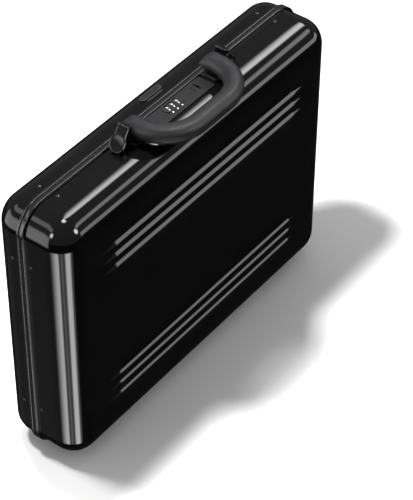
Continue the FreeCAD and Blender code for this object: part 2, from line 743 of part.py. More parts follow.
def make_latches():
    """A sloping lever each side of the handle, hinged on top of a wedge-shaped housing."""
    for side, name in ((-1, "left"), (1, "right")):
        x = f"({side} * latch_offset)"
        slope = FreeCAD.Rotation(FreeCAD.Vector(0, 1, 0), side * value("latch_slope"))
        piece(latch_blade(side), "latch_lever_" + name, x, "-latch_back", LATCH_UP, slope)
        inner = "(handle_offset + handle_width / 2 + latch_inner_gap)"
        start = inner if side > 0 else "(-latch_outer)"
        body = block(start, "-latch_back - latch_width / 2", TOP, f"latch_outer - {inner}", "latch_width",
                     "latch_pivot_up + latch_barrel")
        over = block("-2 * latch_outer", "-latch_width", "-latch_thickness / 2 - latch_gap",
                     "4 * latch_outer", "2 * latch_width", "2 * latch_outer")
        over = place(group(over), x, "-latch_back", LATCH_UP, slope)
        turn_room = rod(x, "-latch_back - latch_width", LATCH_UP, "latch_barrel + latch_gap",
                        "2 * latch_width", ALONG_Y)
        stem = centred(x, "-latch_back - latch_lug_width / 2", TOP, "2 * latch_barrel", "latch_lug_width",
                       "latch_pivot_up")
        lug = rod(x, "-latch_back - latch_lug_width / 2", LATCH_UP, "latch_barrel", "latch_lug_width",
                  ALONG_Y)
        hole = rod(x, "-latch_back - latch_width", LATCH_UP, "latch_pin_radius + 0.01",
                   "2 * latch_width", ALONG_Y)
        piece(cut(fuse(cut(body, over, turn_room), cut(stem, over), lug), hole), "latch_housing_" + name)
        pin = doc.addObject("Part::Cylinder", "Pin")
        bind(pin, Radius="latch_pin_radius", Height="latch_width + 1")
        piece(pin, "latch_pin_" + name, x, "-latch_back - latch_width / 2 - 0.5", LATCH_UP, ALONG_Y)
        catch_start = "(latch_outer + latch_gap)" if side > 0 else "(-latch_outer - latch_gap - catch_length)"
        catch = block(0, 0, 0, "catch_length", "catch_width", "catch_height")
        piece(catch, "latch_catch_" + name, catch_start, "-latch_back - catch_width / 2", TOP)


# --- the lid stays -----------------------------------------------------------------------

def sector(radius, width, height, turn_text):
    """Part of a ring of that middle radius and width about the local origin."""
    outer = bind(doc.addObject("Part::Cylinder", "Sector"), Radius=f"{radius} + {width}", Height=height,
                 Angle="open_angle * 1deg")
    inner = bind(doc.addObject("Part::Cylinder", "Sector"), Radius=f"{radius} - {width}", Height=height)
    made = cut(outer, inner)
    made.Placement = FreeCAD.Placement()
    made.setExpression("Placement.Rotation.Angle", formula(turn_text))
    return made


def make_stays():
    """A slotted arm each side. It turns on the base as far as the lid opens, so a stud on
    the lid follows an arc of the pivot's own radius about a point fixed on the arm."""
    stud_y = f"(stay_stud_out - {STAY_PIVOT_Y})"
    stud_z = f"({AXIS_UP} + stay_stud_up - {STAY_PIVOT_Z})"
    centre_y = f"({stud_y} + {STAY_PIVOT_Y})"
    centre_z = f"({stud_z} + {STAY_PIVOT_Z} - {AXIS_UP})"
    first = "(stay_pivot_angle + 180)"
    last = "(stay_pivot_angle + 180 + open_angle)"
    for side, name in ((-1, "left"), (1, "right")):
        low_x = f"({STAY_SIDE} - stay_thickness)" if side > 0 else f"(-{STAY_SIDE})"

        def disc(y, z, radius, height="stay_thickness"):
            return rod(y, z, 0, radius, height)

        def along(angle):
            y = f"{centre_y} + stay_swing * cos({angle} * 1deg)"
            z = f"{centre_z} + stay_swing * sin({angle} * 1deg)"
            return y, z

        ring = sector("stay_swing", "stay_half_width", "stay_thickness", f"{first} * 1deg")
        ring.setExpression("Placement.Base.x", formula(centre_y))
        ring.setExpression("Placement.Base.y", formula(centre_z))
        bar = block("-stay_half_width", 0, 0, "2 * stay_half_width", f"sqrt(({stud_y})^2 + ({stud_z})^2)",
                    "stay_thickness")
        bar.setExpression("Placement.Rotation.Angle", formula(f"atan2({stud_z}; {stud_y}) - 90deg"))
        plate = fuse(ring, bar, disc(0, 0, "stay_half_width + 1"), disc(*along(first), "stay_half_width"),
                     disc(*along(last), "stay_half_width"))
        clear = "(stay_pivot_radius + soft_gap)"
        slot = sector("stay_swing", clear, "stay_thickness", f"{first} * 1deg")
        slot.setExpression("Placement.Base.x", formula(centre_y))
        slot.setExpression("Placement.Base.y", formula(centre_z))
        ends = [disc(*along(first), clear), disc(*along(last), clear)]
        bore = disc(0, 0, "stay_pivot_radius + pin_clearance")
        piece(cut(plate, slot, *ends, bore), "stay_arm_" + name, low_x, STAY_PIVOT_Y, STAY_PIVOT_Z, UPRIGHT)
        wall_x = f"(case_length / 2 - {LINING_INNER})"
        for label, y, z in (
            ("stay_pivot_", STAY_PIVOT_Y, STAY_PIVOT_Z),
            ("stay_stud_", "stay_stud_out", f"{AXIS_UP} + stay_stud_up"),
        ):
            end_x = f"({STAY_SIDE} - stay_thickness - 1.4)"
            length = f"({wall_x} - {end_x} - stay_seat)"
            start = end_x if side > 0 else f"-({end_x} + {length})"
            head_x = end_x if side > 0 else f"-({end_x} + 1.1)"
            shaft = rod(start, y, z, "stay_pivot_radius", length, ALONG_X)
            head = rod(head_x, y, z, "stay_pivot_radius + 1.6", "1.1", ALONG_X)
            piece(fuse(shaft, head), label + name)


# --- furnishing of the lid ---------------------------------------------------------------

def make_furnishing():
    width = "(case_length - 2 * (lining_inset + furnish_margin))"
    height = "(case_height - 2 * (lining_inset + furnish_margin))"
    panel_y = f"({LID_FLOOR} - soft_gap - panel_thickness)"
    panel = rounded_plate(width, height, "10", "panel_thickness", outward=True)
    piece(panel, "organizer_panel", 0, panel_y, MIDDLE)
    low = f"({MIDDLE} - {height} / 2 + panel_margin)"
    file_height = f"({height} - panel_margin - pocket_margin - card_height - pocket_top_margin)"
    file_y = f"({panel_y} - soft_gap - file_depth)"
    file_pocket = rounded_plate(f"{width} - 12", file_height, "6", "file_depth", outward=True)
    piece(file_pocket, "file_pocket", 0, file_y, f"{low} + {file_height} / 2")
    card_y = f"({panel_y} - soft_gap - card_depth)"
    card_z = f"({low} + {file_height} + pocket_margin + card_height / 2)"
    card_x = f"(-{width} / 2 + 18 + card_width / 2)"
    card_pocket = rounded_plate("card_width", "card_height", "5", "card_depth", outward=True)
    piece(card_pocket, "card_pocket", card_x, card_y, card_z)
    loops = []
    loop_y = f"({panel_y} - soft_gap - pen_loop_radius)"
    for n in range(PEN_LOOPS):
        x = f"(pen_loop_start + {n} * pen_loop_pitch)"
        z = f"({low} + {file_height} + 30)"
        outer = rod(x, loop_y, z, "pen_loop_radius", "pen_loop_height")
        inner = rod(x, loop_y, f"{z} - 1", "pen_loop_radius - pen_loop_wall", "pen_loop_height + 2")
        loops.append(cut(outer, inner))
    piece(group(*loops), "pen_loops")


make_base()
make_lid()
make_hinge_and_feet()
make_trim()
make_console()
make_lock_case()
make_dials()
make_key_and_slider()
make_handle()
make_latches()
make_stays()
make_furnishing()

doc.recompute()
for obj in doc.Objects:
    if "Invalid" in obj.State or "Error" in obj.State:
        raise RuntimeError("%s (%s) did not build: %s" % (obj.Name, obj.Label, obj.State))

os.makedirs("parts", exist_ok=True)
for obj in pieces:
    if obj.Shape.isNull() or not obj.Shape.isValid() or not obj.Shape.Solids:
        raise RuntimeError(obj.Label + " has no valid solid")
    obj.Shape.exportStep("parts/%s.step" % obj.Label)
    box = obj.Shape.BoundBox
    print("%-20s %2d solids %9.0f mm3  x %7.1f %7.1f  y %6.1f %6.1f  z %6.1f %6.1f" % (
        obj.Label, len(obj.Shape.Solids), obj.Shape.Volume,
        box.XMin, box.XMax, box.YMin, box.YMax, box.ZMin, box.ZMax))
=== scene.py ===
# %% [markdown]
# # An aluminium attache case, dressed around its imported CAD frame
# The frame holds every hard size and every joint. This script adds what the eye reads on
# the real case: black lacquer with pressed beads, slim rims at the seam, a soft-touch
# handle, small lock parts with numerals, and a lined, padded and pocketed inside.

# %% Load the frame
import json
import math

import bmesh
import bpy
import numpy as np
from mathutils import Matrix, Vector

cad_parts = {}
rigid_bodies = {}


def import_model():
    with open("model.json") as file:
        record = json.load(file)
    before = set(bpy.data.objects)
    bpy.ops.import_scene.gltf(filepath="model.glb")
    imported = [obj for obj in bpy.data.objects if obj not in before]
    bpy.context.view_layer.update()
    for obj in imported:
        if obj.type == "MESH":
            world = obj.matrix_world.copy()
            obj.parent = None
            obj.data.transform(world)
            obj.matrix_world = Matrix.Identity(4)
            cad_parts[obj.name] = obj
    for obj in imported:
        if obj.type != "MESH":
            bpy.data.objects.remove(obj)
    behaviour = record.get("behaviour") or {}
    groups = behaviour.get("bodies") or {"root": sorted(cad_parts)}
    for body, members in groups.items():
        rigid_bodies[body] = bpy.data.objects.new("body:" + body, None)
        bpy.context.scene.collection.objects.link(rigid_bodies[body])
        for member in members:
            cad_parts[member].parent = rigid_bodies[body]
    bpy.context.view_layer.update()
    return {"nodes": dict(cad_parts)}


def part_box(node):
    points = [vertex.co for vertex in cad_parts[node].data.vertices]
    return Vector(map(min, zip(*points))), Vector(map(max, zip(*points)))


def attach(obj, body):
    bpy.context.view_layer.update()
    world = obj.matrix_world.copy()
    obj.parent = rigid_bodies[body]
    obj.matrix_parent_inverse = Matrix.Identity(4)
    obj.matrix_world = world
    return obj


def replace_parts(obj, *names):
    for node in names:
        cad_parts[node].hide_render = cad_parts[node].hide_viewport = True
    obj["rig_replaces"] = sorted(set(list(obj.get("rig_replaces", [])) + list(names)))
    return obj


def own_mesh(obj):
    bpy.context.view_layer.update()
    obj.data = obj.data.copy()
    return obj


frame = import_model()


MM = 0.001

# %% [markdown]
# ## Where things are
# Places come from the frame: the lips of the two rims give the seam, the shells give the
# case's outline, and small parts give their own boxes. Only radii and wall thicknesses,
# which a box doesn't show, are repeated here.

# %% Places and sizes read from the frame
shell_low, shell_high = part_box("base_shell")
lid_low, lid_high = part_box("lid_shell")
base_rim_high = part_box("base_frame")[1]
lid_rim_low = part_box("lid_frame")[0]
SEAM_Y = (base_rim_high.y + lid_rim_low.y) / 2
HALF_X = shell_high.x
BOTTOM, TOP = shell_low.z, shell_high.z
HALF_Z, MID_Z = (TOP - BOTTOM) / 2, (TOP + BOTTOM) / 2
BEAD_HEIGHT = 3.0
BASE_FACE = (SEAM_Y - shell_low.y) / MM - BEAD_HEIGHT
LID_FACE = (lid_high.y - SEAM_Y) / MM - BEAD_HEIGHT
BASE_START = (SEAM_Y - shell_high.y) / MM
LID_START = (lid_low.y - SEAM_Y) / MM
RIM_PROUD = (base_rim_high.x - HALF_X) / MM
PLAN_CORNER = 30.5
BASE_EDGE, LID_EDGE = 29.5, 26.0
WALL = 1.5
print("seam at y =", round(SEAM_Y / MM, 2), "mm; the broad faces stand", round(BASE_FACE, 1),
      "and", round(LID_FACE, 1), "mm from it")

# %% [markdown]
# ## Meshes from arrays
# Most pieces here are lofts: one closed outline repeated as rows, a little further in and
# a little deeper each time. Numpy works out all the points at once, and a few lines turn
# rows into faces. An outline with rounded corners has a handy form: each point is a fixed
# centre plus a length times a direction, so moving the outline in only shortens a length.

# %% Outlines and rows
def rounded_path(half_u, half_v, corner, us=None, vs=None, steps=10):
    """Centres and directions all round a rounded rectangle. A point of the outline moved in
    by d is centre + (corner - d) * direction: along a side the direction is constant, and
    round a corner it sweeps a quarter turn about one centre."""
    a, b = half_u - corner, half_v - corner
    us = np.array([-a, a]) if us is None else us
    vs = np.array([-b, b]) if vs is None else vs
    sweep = np.linspace(0, np.pi / 2, steps + 1)[1:-1]
    runs = []
    for quarter, side in enumerate((
        np.column_stack([us, np.full(len(us), -b)]), np.column_stack([np.full(len(vs), a), vs]),
        np.column_stack([us[::-1], np.full(len(us), b)]), np.column_stack([np.full(len(vs), -a), vs[::-1]]),
    )):
        start = (quarter - 1) * np.pi / 2
        turned = start + sweep
        runs.append((side, np.tile([np.cos(start), np.sin(start)], (len(side), 1))))
        runs.append((np.tile(side[-1], (len(sweep), 1)), np.column_stack([np.cos(turned), np.sin(turned)])))
    return np.vstack([r[0] for r in runs]), np.vstack([r[1] for r in runs])


def rows_of(path, corner, insets, depths):
    """Row i is the outline moved in by insets[i] at depths[i], as (row, point, uvw)."""
    centres, directions = path
    flat = centres[None] + (corner - np.asarray(insets, float))[:, None, None] * directions[None]
    deep = np.broadcast_to(np.asarray(depths, float)[:, None, None], flat.shape[:2] + (1,))
    return np.concatenate([flat, deep], axis=2)


def band(rows, columns, ring=False, first=0):
    """Quads between neighbouring rows whose columns close on themselves; ring closes the rows too."""
    i = np.arange(rows if ring else rows - 1)[:, None]
    j = np.arange(columns)[None]
    here, there, right = i * columns, (i + 1) % rows * columns, (j + 1) % columns
    return (first + np.stack([here + j, here + right, there + right, there + j], -1)).reshape(-1, 4)


def patch(rows, columns, first=0):
    """Quads of an open grid."""
    i = np.arange(rows - 1)[:, None] * columns
    j = np.arange(columns - 1)[None]
    return (first + np.stack([i + j, i + j + 1, i + j + 1 + columns, i + j + columns], -1)).reshape(-1, 4)


def on_wall(uvw, sign):
    """From (across, up, away from the seam) in mm to the case's frame; the base is sign -1."""
    u, v, w = np.moveaxis(uvw.reshape(-1, 3) * MM, 1, 0)
    return np.column_stack([u, SEAM_Y + sign * w, MID_Z + v])


def on_top(uvw, at):
    """From (across, back, up) in mm about a point of the case to its frame, in metres."""
    return uvw.reshape(-1, 3) * MM + np.array(at)


print("a rounded outline has", len(rounded_path(10, 10, 2)[0]), "points")

# %% Turning points into a named piece
dressed = []


def solid(name, points, faces):
    """A closed mesh with its doubles merged and its faces turned outwards."""
    mesh = bpy.data.meshes.new(name)
    mesh.from_pydata(np.asarray(points).tolist(), [], [list(map(int, f)) for f in faces])
    work = bmesh.new()
    work.from_mesh(mesh)
    bmesh.ops.remove_doubles(work, verts=work.verts, dist=2e-6)
    bmesh.ops.dissolve_degenerate(work, edges=work.edges, dist=1e-6)
    bmesh.ops.recalc_face_normals(work, faces=work.faces)
    work.to_mesh(mesh)
    work.free()
    made = bpy.data.objects.new(name, mesh)
    bpy.context.scene.collection.objects.link(made)
    return made


def carve(made, *tools):
    """Take tool solids away from a piece, as a mill would, and drop the tools."""
    for tool in tools:
        step = made.modifiers.new("cut", "BOOLEAN")
        step.operation, step.solver, step.object = "DIFFERENCE", "EXACT", tool
    ready = made.evaluated_get(bpy.context.evaluated_depsgraph_get())
    mesh = bpy.data.meshes.new_from_object(ready)
    made.modifiers.clear()
    made.data = mesh
    for tool in tools:
        bpy.data.objects.remove(tool)
    return made


def finish_piece(made, look, body, stands_for=(), crease=35):
    """Smooth shading with sharp creases, a material, a body to ride on and a CAD node to stand for."""
    made.data.materials.clear()
    made.data.materials.append(look)
    made.data.shade_smooth()
    made.data.set_sharp_from_angle(angle=math.radians(crease))
    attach(made, body)
    if stands_for:
        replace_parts(made, *([stands_for] if isinstance(stands_for, str) else stands_for))
    dressed.append(made.name)
    return made


def brick(name, low, high):
    """A plain tool block between two corners, in metres."""
    u, v, w = np.meshgrid(*[np.array([a, b]) for a, b in zip(low, high)], indexing="ij")
    corners = np.column_stack([u.ravel(), v.ravel(), w.ravel()])
    sides = [(0, 1, 3, 2), (4, 6, 7, 5), (0, 4, 5, 1), (2, 3, 7, 6), (0, 2, 6, 4), (1, 5, 7, 3)]
    return solid(name, corners, sides)


AXES = {"x": (1, 2, 0), "y": (2, 0, 1), "z": (0, 1, 2)}


def turned(name, profile, axis, centre, around=40, radius_at=None):
    """A lathe-turned solid: radius and height pairs in mm carried once round an axis. radius_at,
    where given, is a share of the radius as a function of the angle, for flutes."""
    profile = np.array(profile, float)
    angle = np.arange(around) * 2 * np.pi / around
    share = np.ones(around) if radius_at is None else radius_at(angle)
    reach = profile[:, 0][:, None] * share[None]
    local = np.stack([reach * np.cos(angle), reach * np.sin(angle),
                      np.broadcast_to(profile[:, 1][:, None], reach.shape)], -1).reshape(-1, 3)
    first, second, third = AXES[axis]
    points = np.zeros_like(local)
    points[:, first], points[:, second], points[:, third] = local.T
    return solid(name, points * MM + np.array(centre), band(len(profile), around))


def plate(name, half_u, half_v, corner, low, high, edge, at, crown=0.0, steps=8):
    """A plate with rounded corners and rounded upper edges: rows climb the side, turn over a
    quarter round of radius edge and close on the top, which may be crowned."""
    bend = np.linspace(0, np.pi / 2, 6)
    insets = np.concatenate([[corner, 0.2, 0, 0], edge * (1 - np.cos(bend)), [edge + 0.2, corner]])
    heights = np.concatenate([[low, low, low + 0.2, high - edge - 0.05], high - edge + edge * np.sin(bend),
                              [high, high + crown]])
    path = rounded_path(half_u, half_v, corner, steps=steps)
    rows = rows_of(path, corner, insets, heights)
    count = rows.shape[1]
    faces = band(len(rows), count).tolist()
    for row in (0, len(rows) - 1):
        loop = rows[row]
        keep = [k for k in range(count) if np.abs(loop[k] - loop[k - 1]).max() > 1e-9]
        faces.append([row * count + k for k in keep])
    return solid(name, on_top(rows, at), faces)


print("helpers ready")

# %% [markdown]
# ## Finishes
# Each real surface gets a node material of its own. Lacquer is a nearly black dielectric
# with a faint ripple; satin metals carry a fine brushed grain; moulded plastic and rubber
# have a pebbled skin; cloth has a weave worked out from two crossing waves.

# %% Building materials
def start_look(name, colour, roughness, metallic=0.0, **settings):
    """A Principled material with its constant values set on the shader's own sockets."""
    look = bpy.data.materials.new(name)
    look.use_nodes = True
    nodes, links = look.node_tree.nodes, look.node_tree.links
    shader = nodes["Principled BSDF"]
    shader.inputs["Base Color"].default_value = (*colour, 1)
    shader.inputs["Roughness"].default_value = roughness
    shader.inputs["Metallic"].default_value = metallic
    for key, value in settings.items():
        shader.inputs[key].default_value = value
    look.diffuse_color = (*colour, 1)
    return look, nodes, links, shader


def object_noise(nodes, links, scale, detail=3.0, stretch=(1, 1, 1)):
    """Noise fixed to the piece, with a stretch along each axis."""
    where = nodes.new("ShaderNodeTexCoord")
    turn = nodes.new("ShaderNodeMapping")
    turn.inputs["Scale"].default_value = stretch
    noise = nodes.new("ShaderNodeTexNoise")
    noise.inputs["Scale"].default_value = scale
    noise.inputs["Detail"].default_value = detail
    links.new(where.outputs["Object"], turn.inputs["Vector"])
    links.new(turn.outputs["Vector"], noise.inputs["Vector"])
    return noise.outputs["Fac"]


def spread(nodes, links, source, low, high, start=0.3, end=0.7):
    """Map a 0 to 1 pattern to a range of values."""
    ranged = nodes.new("ShaderNodeMapRange")
    for key, value in (("From Min", start), ("From Max", end), ("To Min", low), ("To Max", high)):
        ranged.inputs[key].default_value = value
    links.new(source, ranged.inputs["Value"])
    return ranged.outputs["Result"]


def tint(nodes, links, source, dark, light):
    """Blend two colours by a 0 to 1 pattern."""
    ramp = nodes.new("ShaderNodeValToRGB")
    ramp.color_ramp.elements[0].position, ramp.color_ramp.elements[1].position = 0.3, 0.7
    ramp.color_ramp.elements[0].color, ramp.color_ramp.elements[1].color = (*dark, 1), (*light, 1)
    links.new(source, ramp.inputs["Fac"])
    return ramp.outputs["Color"]


def raise_skin(nodes, links, source, shader, distance, strength=1.0):
    """Drive the shader's normal from a height pattern."""
    bump = nodes.new("ShaderNodeBump")
    bump.inputs["Distance"].default_value = distance
    bump.inputs["Strength"].default_value = strength
    links.new(source, bump.inputs["Height"])
    links.new(bump.outputs["Normal"], shader.inputs["Normal"])


def grained(name, colour, roughness, metallic=0.0, shift=0.15, scale=400.0, spread_by=0.08,
            height=0.00004, stretch=(1, 1, 1), detail=3.0, **settings):
    """A moulded, cast or brushed surface: colour, roughness and height all follow one grain."""
    look, nodes, links, shader = start_look(name, colour, roughness, metallic, **settings)
    grain = object_noise(nodes, links, scale, detail, stretch)
    dark = tuple(c * (1 - shift) for c in colour)
    light = tuple(min(1.0, c * (1 + shift)) for c in colour)
    links.new(tint(nodes, links, grain, dark, light), shader.inputs["Base Color"])
    patchy = object_noise(nodes, links, scale * 0.08, 2.0)
    links.new(spread(nodes, links, patchy, max(0.0, roughness - spread_by), roughness + spread_by),
              shader.inputs["Roughness"])
    raise_skin(nodes, links, grain, shader, height)
    return look


def woven(name, colour, pitch_mm, roughness=0.85, height=0.0002, shift=0.35, **settings):
    """Cloth: two crossing waves, one for each set of threads, lighten and lift the yarns."""
    look, nodes, links, shader = start_look(name, colour, roughness, 0.0, **settings)
    where = nodes.new("ShaderNodeTexCoord")
    waves = []
    for axis in ("X", "Z"):
        wave = nodes.new("ShaderNodeTexWave")
        wave.bands_direction = axis
        wave.inputs["Scale"].default_value = 0.314 / (pitch_mm * MM)
        wave.inputs["Distortion"].default_value = 0.6
        wave.inputs["Detail Scale"].default_value = 2.0
        links.new(where.outputs["Object"], wave.inputs["Vector"])
        waves.append(wave.outputs["Fac"])
    cross = nodes.new("ShaderNodeMath")
    cross.operation = "MULTIPLY"
    links.new(waves[0], cross.inputs[0])
    links.new(waves[1], cross.inputs[1])
    dark = tuple(c * (1 - shift) for c in colour)
    light = tuple(min(1.0, c * (1 + shift)) for c in colour)
    ramp = tint(nodes, links, cross.outputs[0], dark, light)
    links.new(ramp, shader.inputs["Base Color"])
    raise_skin(nodes, links, cross.outputs[0], shader, height)
    return look


def lacquered(name, colour, roughness, ripple, scale, **settings):
    """Gloss over sheet metal: a slow ripple bends reflections a little, and faint wiping marks
    vary the gloss."""
    look, nodes, links, shader = start_look(name, colour, roughness, 0.0, **settings)
    slow = object_noise(nodes, links, scale, 1.0)
    marks = object_noise(nodes, links, 60.0, 4.0, (1.0, 1.0, 4.0))
    links.new(spread(nodes, links, marks, roughness * 0.6, roughness * 1.5), shader.inputs["Roughness"])
    dark, light = tuple(c * 0.8 for c in colour), tuple(c * 1.2 for c in colour)
    links.new(tint(nodes, links, slow, dark, light), shader.inputs["Base Color"])
    raise_skin(nodes, links, slow, shader, ripple)
    return look


# %% The finishes of this case
looks = {
    "shell_black": lacquered("black_lacquer", (0.0018, 0.0018, 0.002), 0.045, 0.00005, 22.0),
    "latch_gloss": lacquered("latch_gloss", (0.003, 0.003, 0.0034), 0.07, 0.00001, 90.0),
    "frame_trim": grained("anodised_rim", (0.065, 0.065, 0.068), 0.2, 0.9, shift=0.05, scale=900.0,
                          spread_by=0.03, height=0.000002, stretch=(0.15, 1, 0.15)),
    "grip_plastic": grained("soft_touch_grip", (0.0075, 0.0075, 0.0083), 0.5, scale=1500.0, height=0.00003,
                            shift=0.1, detail=2.0),
    "console_gray": grained("blasted_console", (0.016, 0.016, 0.017), 0.42, 0.5, scale=1800.0,
                            height=0.00001),
    "bezel_satin": grained("bezel_satin", (0.025, 0.025, 0.027), 0.36, 0.5, scale=1500.0, height=0.00001),
    "dial_plastic": grained("dial_plastic", (0.006, 0.006, 0.006), 0.3, scale=900.0, height=0.00001),
    "marker_white": grained("marker_paint", (0.75, 0.75, 0.73), 0.5, scale=1500.0, shift=0.06,
                            height=0.00001),
    "dark_metal": grained("dark_metal", (0.035, 0.035, 0.037), 0.35, 0.8, scale=900.0, height=0.00001),
    "lock_black": grained("lock_black", (0.01, 0.01, 0.01), 0.28, 0.2, scale=1200.0, height=0.00001),
    "rivet_dark": grained("rivet_dark", (0.07, 0.07, 0.072), 0.16, 0.9, scale=1200.0, height=0.00001),
    "chrome": grained("bright_chrome", (0.62, 0.62, 0.63), 0.12, 1.0, scale=700.0, shift=0.05,
                      spread_by=0.04, height=0.000005),
    "steel": grained("brushed_steel", (0.42, 0.42, 0.43), 0.3, 1.0, scale=700.0, shift=0.1,
                     height=0.00001, stretch=(1, 0.15, 1)),
    "rubber_black": grained("rubber", (0.018, 0.018, 0.018), 0.7, scale=1200.0, height=0.00006),
    "lining": grained("leatherette_lining", (0.03, 0.03, 0.034), 0.55, scale=650.0, shift=0.22,
                       height=0.00012),
    "lining_pad": woven("quilted_pad", (0.035, 0.035, 0.04), 0.7, height=0.00025),
    "pocket_cloth": woven("pocket_cloth", (0.022, 0.022, 0.025), 0.8),
    "elastic": woven("elastic_webbing", (0.02, 0.02, 0.02), 1.4, height=0.0003),
}
numeral_look = grained("numeral_paint", (0.8, 0.8, 0.76), 0.45, scale=1500.0, shift=0.05, height=0.000005)
thread_look = grained("stitch_thread", (0.07, 0.07, 0.075), 0.6, scale=2500.0, height=0.00002)
print(len(looks) + 2, "finishes")

# %% [markdown]
# ## The two drawn shells
# Each half is one sheet pressed into a tray: flat sides, a wide rounding, a flat broad face
# and six beads. A mirror finish shows every facet, so the shell is a loft with many rows
# over the rounding and a fine patch over the beads, instead of the CAD's own triangles.

# %% Bead pattern of a broad face
BEAD_HALF_WIDTH, BEAD_TAPER, BEAD_HALF_LENGTH = 5.0, 24.0, 178.0
BEAD_SET, BEAD_PITCH = 93.5, 15.08
BEAD_CENTRES = [side * BEAD_SET + row * BEAD_PITCH for side in (-1, 1) for row in (-1, 0, 1)]


def bead_height(u, v):
    """Height of the beads in mm: two straight flanks across each bead, with a share of raised
    cosine that rounds its crest and feet. Over the taper height and width shrink together, so
    the flanks keep their slope right up to the pointed ends."""
    along = np.clip((np.abs(u) - (BEAD_HALF_LENGTH - BEAD_TAPER)) / BEAD_TAPER, 0, 1)
    crest = BEAD_HEIGHT * (1 - along)
    half_width = np.maximum(BEAD_HALF_WIDTH * 1.08 * (1 - along), 0.05)
    height = np.zeros(np.broadcast(u, v).shape)
    for centre in BEAD_CENTRES:
        share = np.clip(np.abs(v - centre) / half_width, 0, 1)
        height += crest * (0.72 * (1 - share) + 0.28 * (1 + np.cos(np.pi * share)) / 2)
    return height


A, B = HALF_X / MM - PLAN_CORNER, HALF_Z / MM - PLAN_CORNER
half_columns = np.concatenate([[40, 100, 150, 153.5], np.linspace(154, 178, 17), [178.6, 186, A]])
face_columns = np.concatenate([-half_columns[::-1], [0], half_columns])
across_bead = np.linspace(-5.5, 5.5, 19)
plain_rows = np.array([-B, -125, -55, -30, 0, 30, 55, 125, B])
bead_rows = np.array(BEAD_CENTRES)[:, None] + across_bead[None]
face_rows = np.unique(np.round(np.concatenate([bead_rows, plain_rows], axis=None), 4))
case_path = rounded_path(HALF_X / MM, HALF_Z / MM, PLAN_CORNER, face_columns, face_rows, steps=20)
print("broad face grid:", len(face_columns), "by", len(face_rows))


# %% A tray, for shells and linings
def tray(name, start, sign, outer, inner, beads):
    """A tray open at the seam. outer and inner are (inset, depth of face, edge radius) in mm;
    rows run from the middle of the outer face to the seam and back down the inside, and each
    face closes with a patch that carries the beads."""
    rounding = np.linspace(0, np.pi / 2, 25)
    insets, depths = [], []
    for inset, face, edge in (outer, inner):
        turn_in = inset + edge * (1 - np.cos(rounding))
        turn_down = face - edge + edge * np.sin(rounding)
        insets.append(np.concatenate([[inset, inset, inset], turn_in, [turn_in[-1] + 0.3, PLAN_CORNER]]))
        depths.append(np.concatenate([[start, start + 0.6, face - edge - 0.6], turn_down, [face, face]]))
    rows = np.concatenate([rows_of(case_path, PLAN_CORNER, insets[0][::-1], depths[0][::-1]),
                           rows_of(case_path, PLAN_CORNER, insets[1], depths[1])])
    points, faces = [on_wall(rows, sign)], [band(len(rows), rows.shape[1])]
    u, v = np.meshgrid(face_columns, face_rows)
    first = rows.shape[0] * rows.shape[1]
    for face in (outer[1], inner[1]):
        height = bead_height(u, v) if beads else np.zeros(u.shape)
        points.append(on_wall(np.stack([u, v, face + height], -1), sign))
        faces.append(patch(*u.shape, first=first))
        first += u.size
    return solid(name, np.vstack(points), np.vstack(faces))


CASES = {
    "base": dict(sign=-1, start=BASE_START, face=BASE_FACE, edge=BASE_EDGE),
    "lid": dict(sign=1, start=LID_START, face=LID_FACE, edge=LID_EDGE),
}
LINING_INSET, LINING_WALL, LINING_GAP = 5.2, 1.5, 0.5
lock_low, lock_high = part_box("lock_case")
for half, c in CASES.items():
    shell = tray(half + "_pressed_shell", c["start"], c["sign"], (0, c["face"], c["edge"]),
                 (WALL, c["face"] - WALL, c["edge"] - WALL), beads=True)
    back = c["face"] - WALL - LINING_GAP
    outer = (LINING_INSET, back, c["edge"] - LINING_INSET)
    inner = (LINING_INSET + LINING_WALL, back - LINING_WALL, outer[2] - LINING_WALL)
    lining = tray(half + "_fitted_lining", 0.4 + WALL, c["sign"], outer, inner, beads=False)
    if half == "base":
        room = Vector((0.0001, 0.0001, 0.0001))
        for made in (shell, lining):
            carve(made, brick("lock room", lock_low - room, lock_high + room + Vector((0, 0, 0.01))))
    finish_piece(shell, looks["shell_black"], half, half + "_shell")
    finish_piece(lining, looks["lining"], half, half + "_lining")
    print(half, "shell:", len(shell.data.polygons), "faces")

# %% [markdown]
# ## Rims at the seam
# An extruded frame holds each shell: a slim lip stands proud at the seam and a tongue lies
# inside the sheet. It is one section carried round the case's own outline. The lip's rounded
# edges matter most, because they draw the thin light lines that outline the seam.

# %% Seam rims, gasket groove and hinge relief
GAP, INSET, EASE = 0.4, 4.6, 0.7


def rim_section(lip, tongue, groove):
    """The rim's section as (inset, depth) pairs, with a quarter round of radius EASE on both
    outer edges of the lip and a groove for the gasket where there is one."""
    bend = np.linspace(0, np.pi / 2, 5)
    end = GAP + lip
    near = np.column_stack([-RIM_PROUD + EASE * (1 - np.sin(bend)), GAP + EASE * (1 - np.cos(bend))])
    far = np.column_stack([-RIM_PROUD + EASE * (1 - np.cos(bend)), end - EASE + EASE * np.sin(bend)])
    seat = [(3.05, GAP), (3.05, 2.6), (0.95, 2.6), (0.95, GAP)] if groove else []
    inside = [(1.6, end), (1.6, end + tongue), (INSET, end + tongue), (INSET, GAP)]
    return np.array([*seat, *near.tolist(), *far.tolist(), *inside])


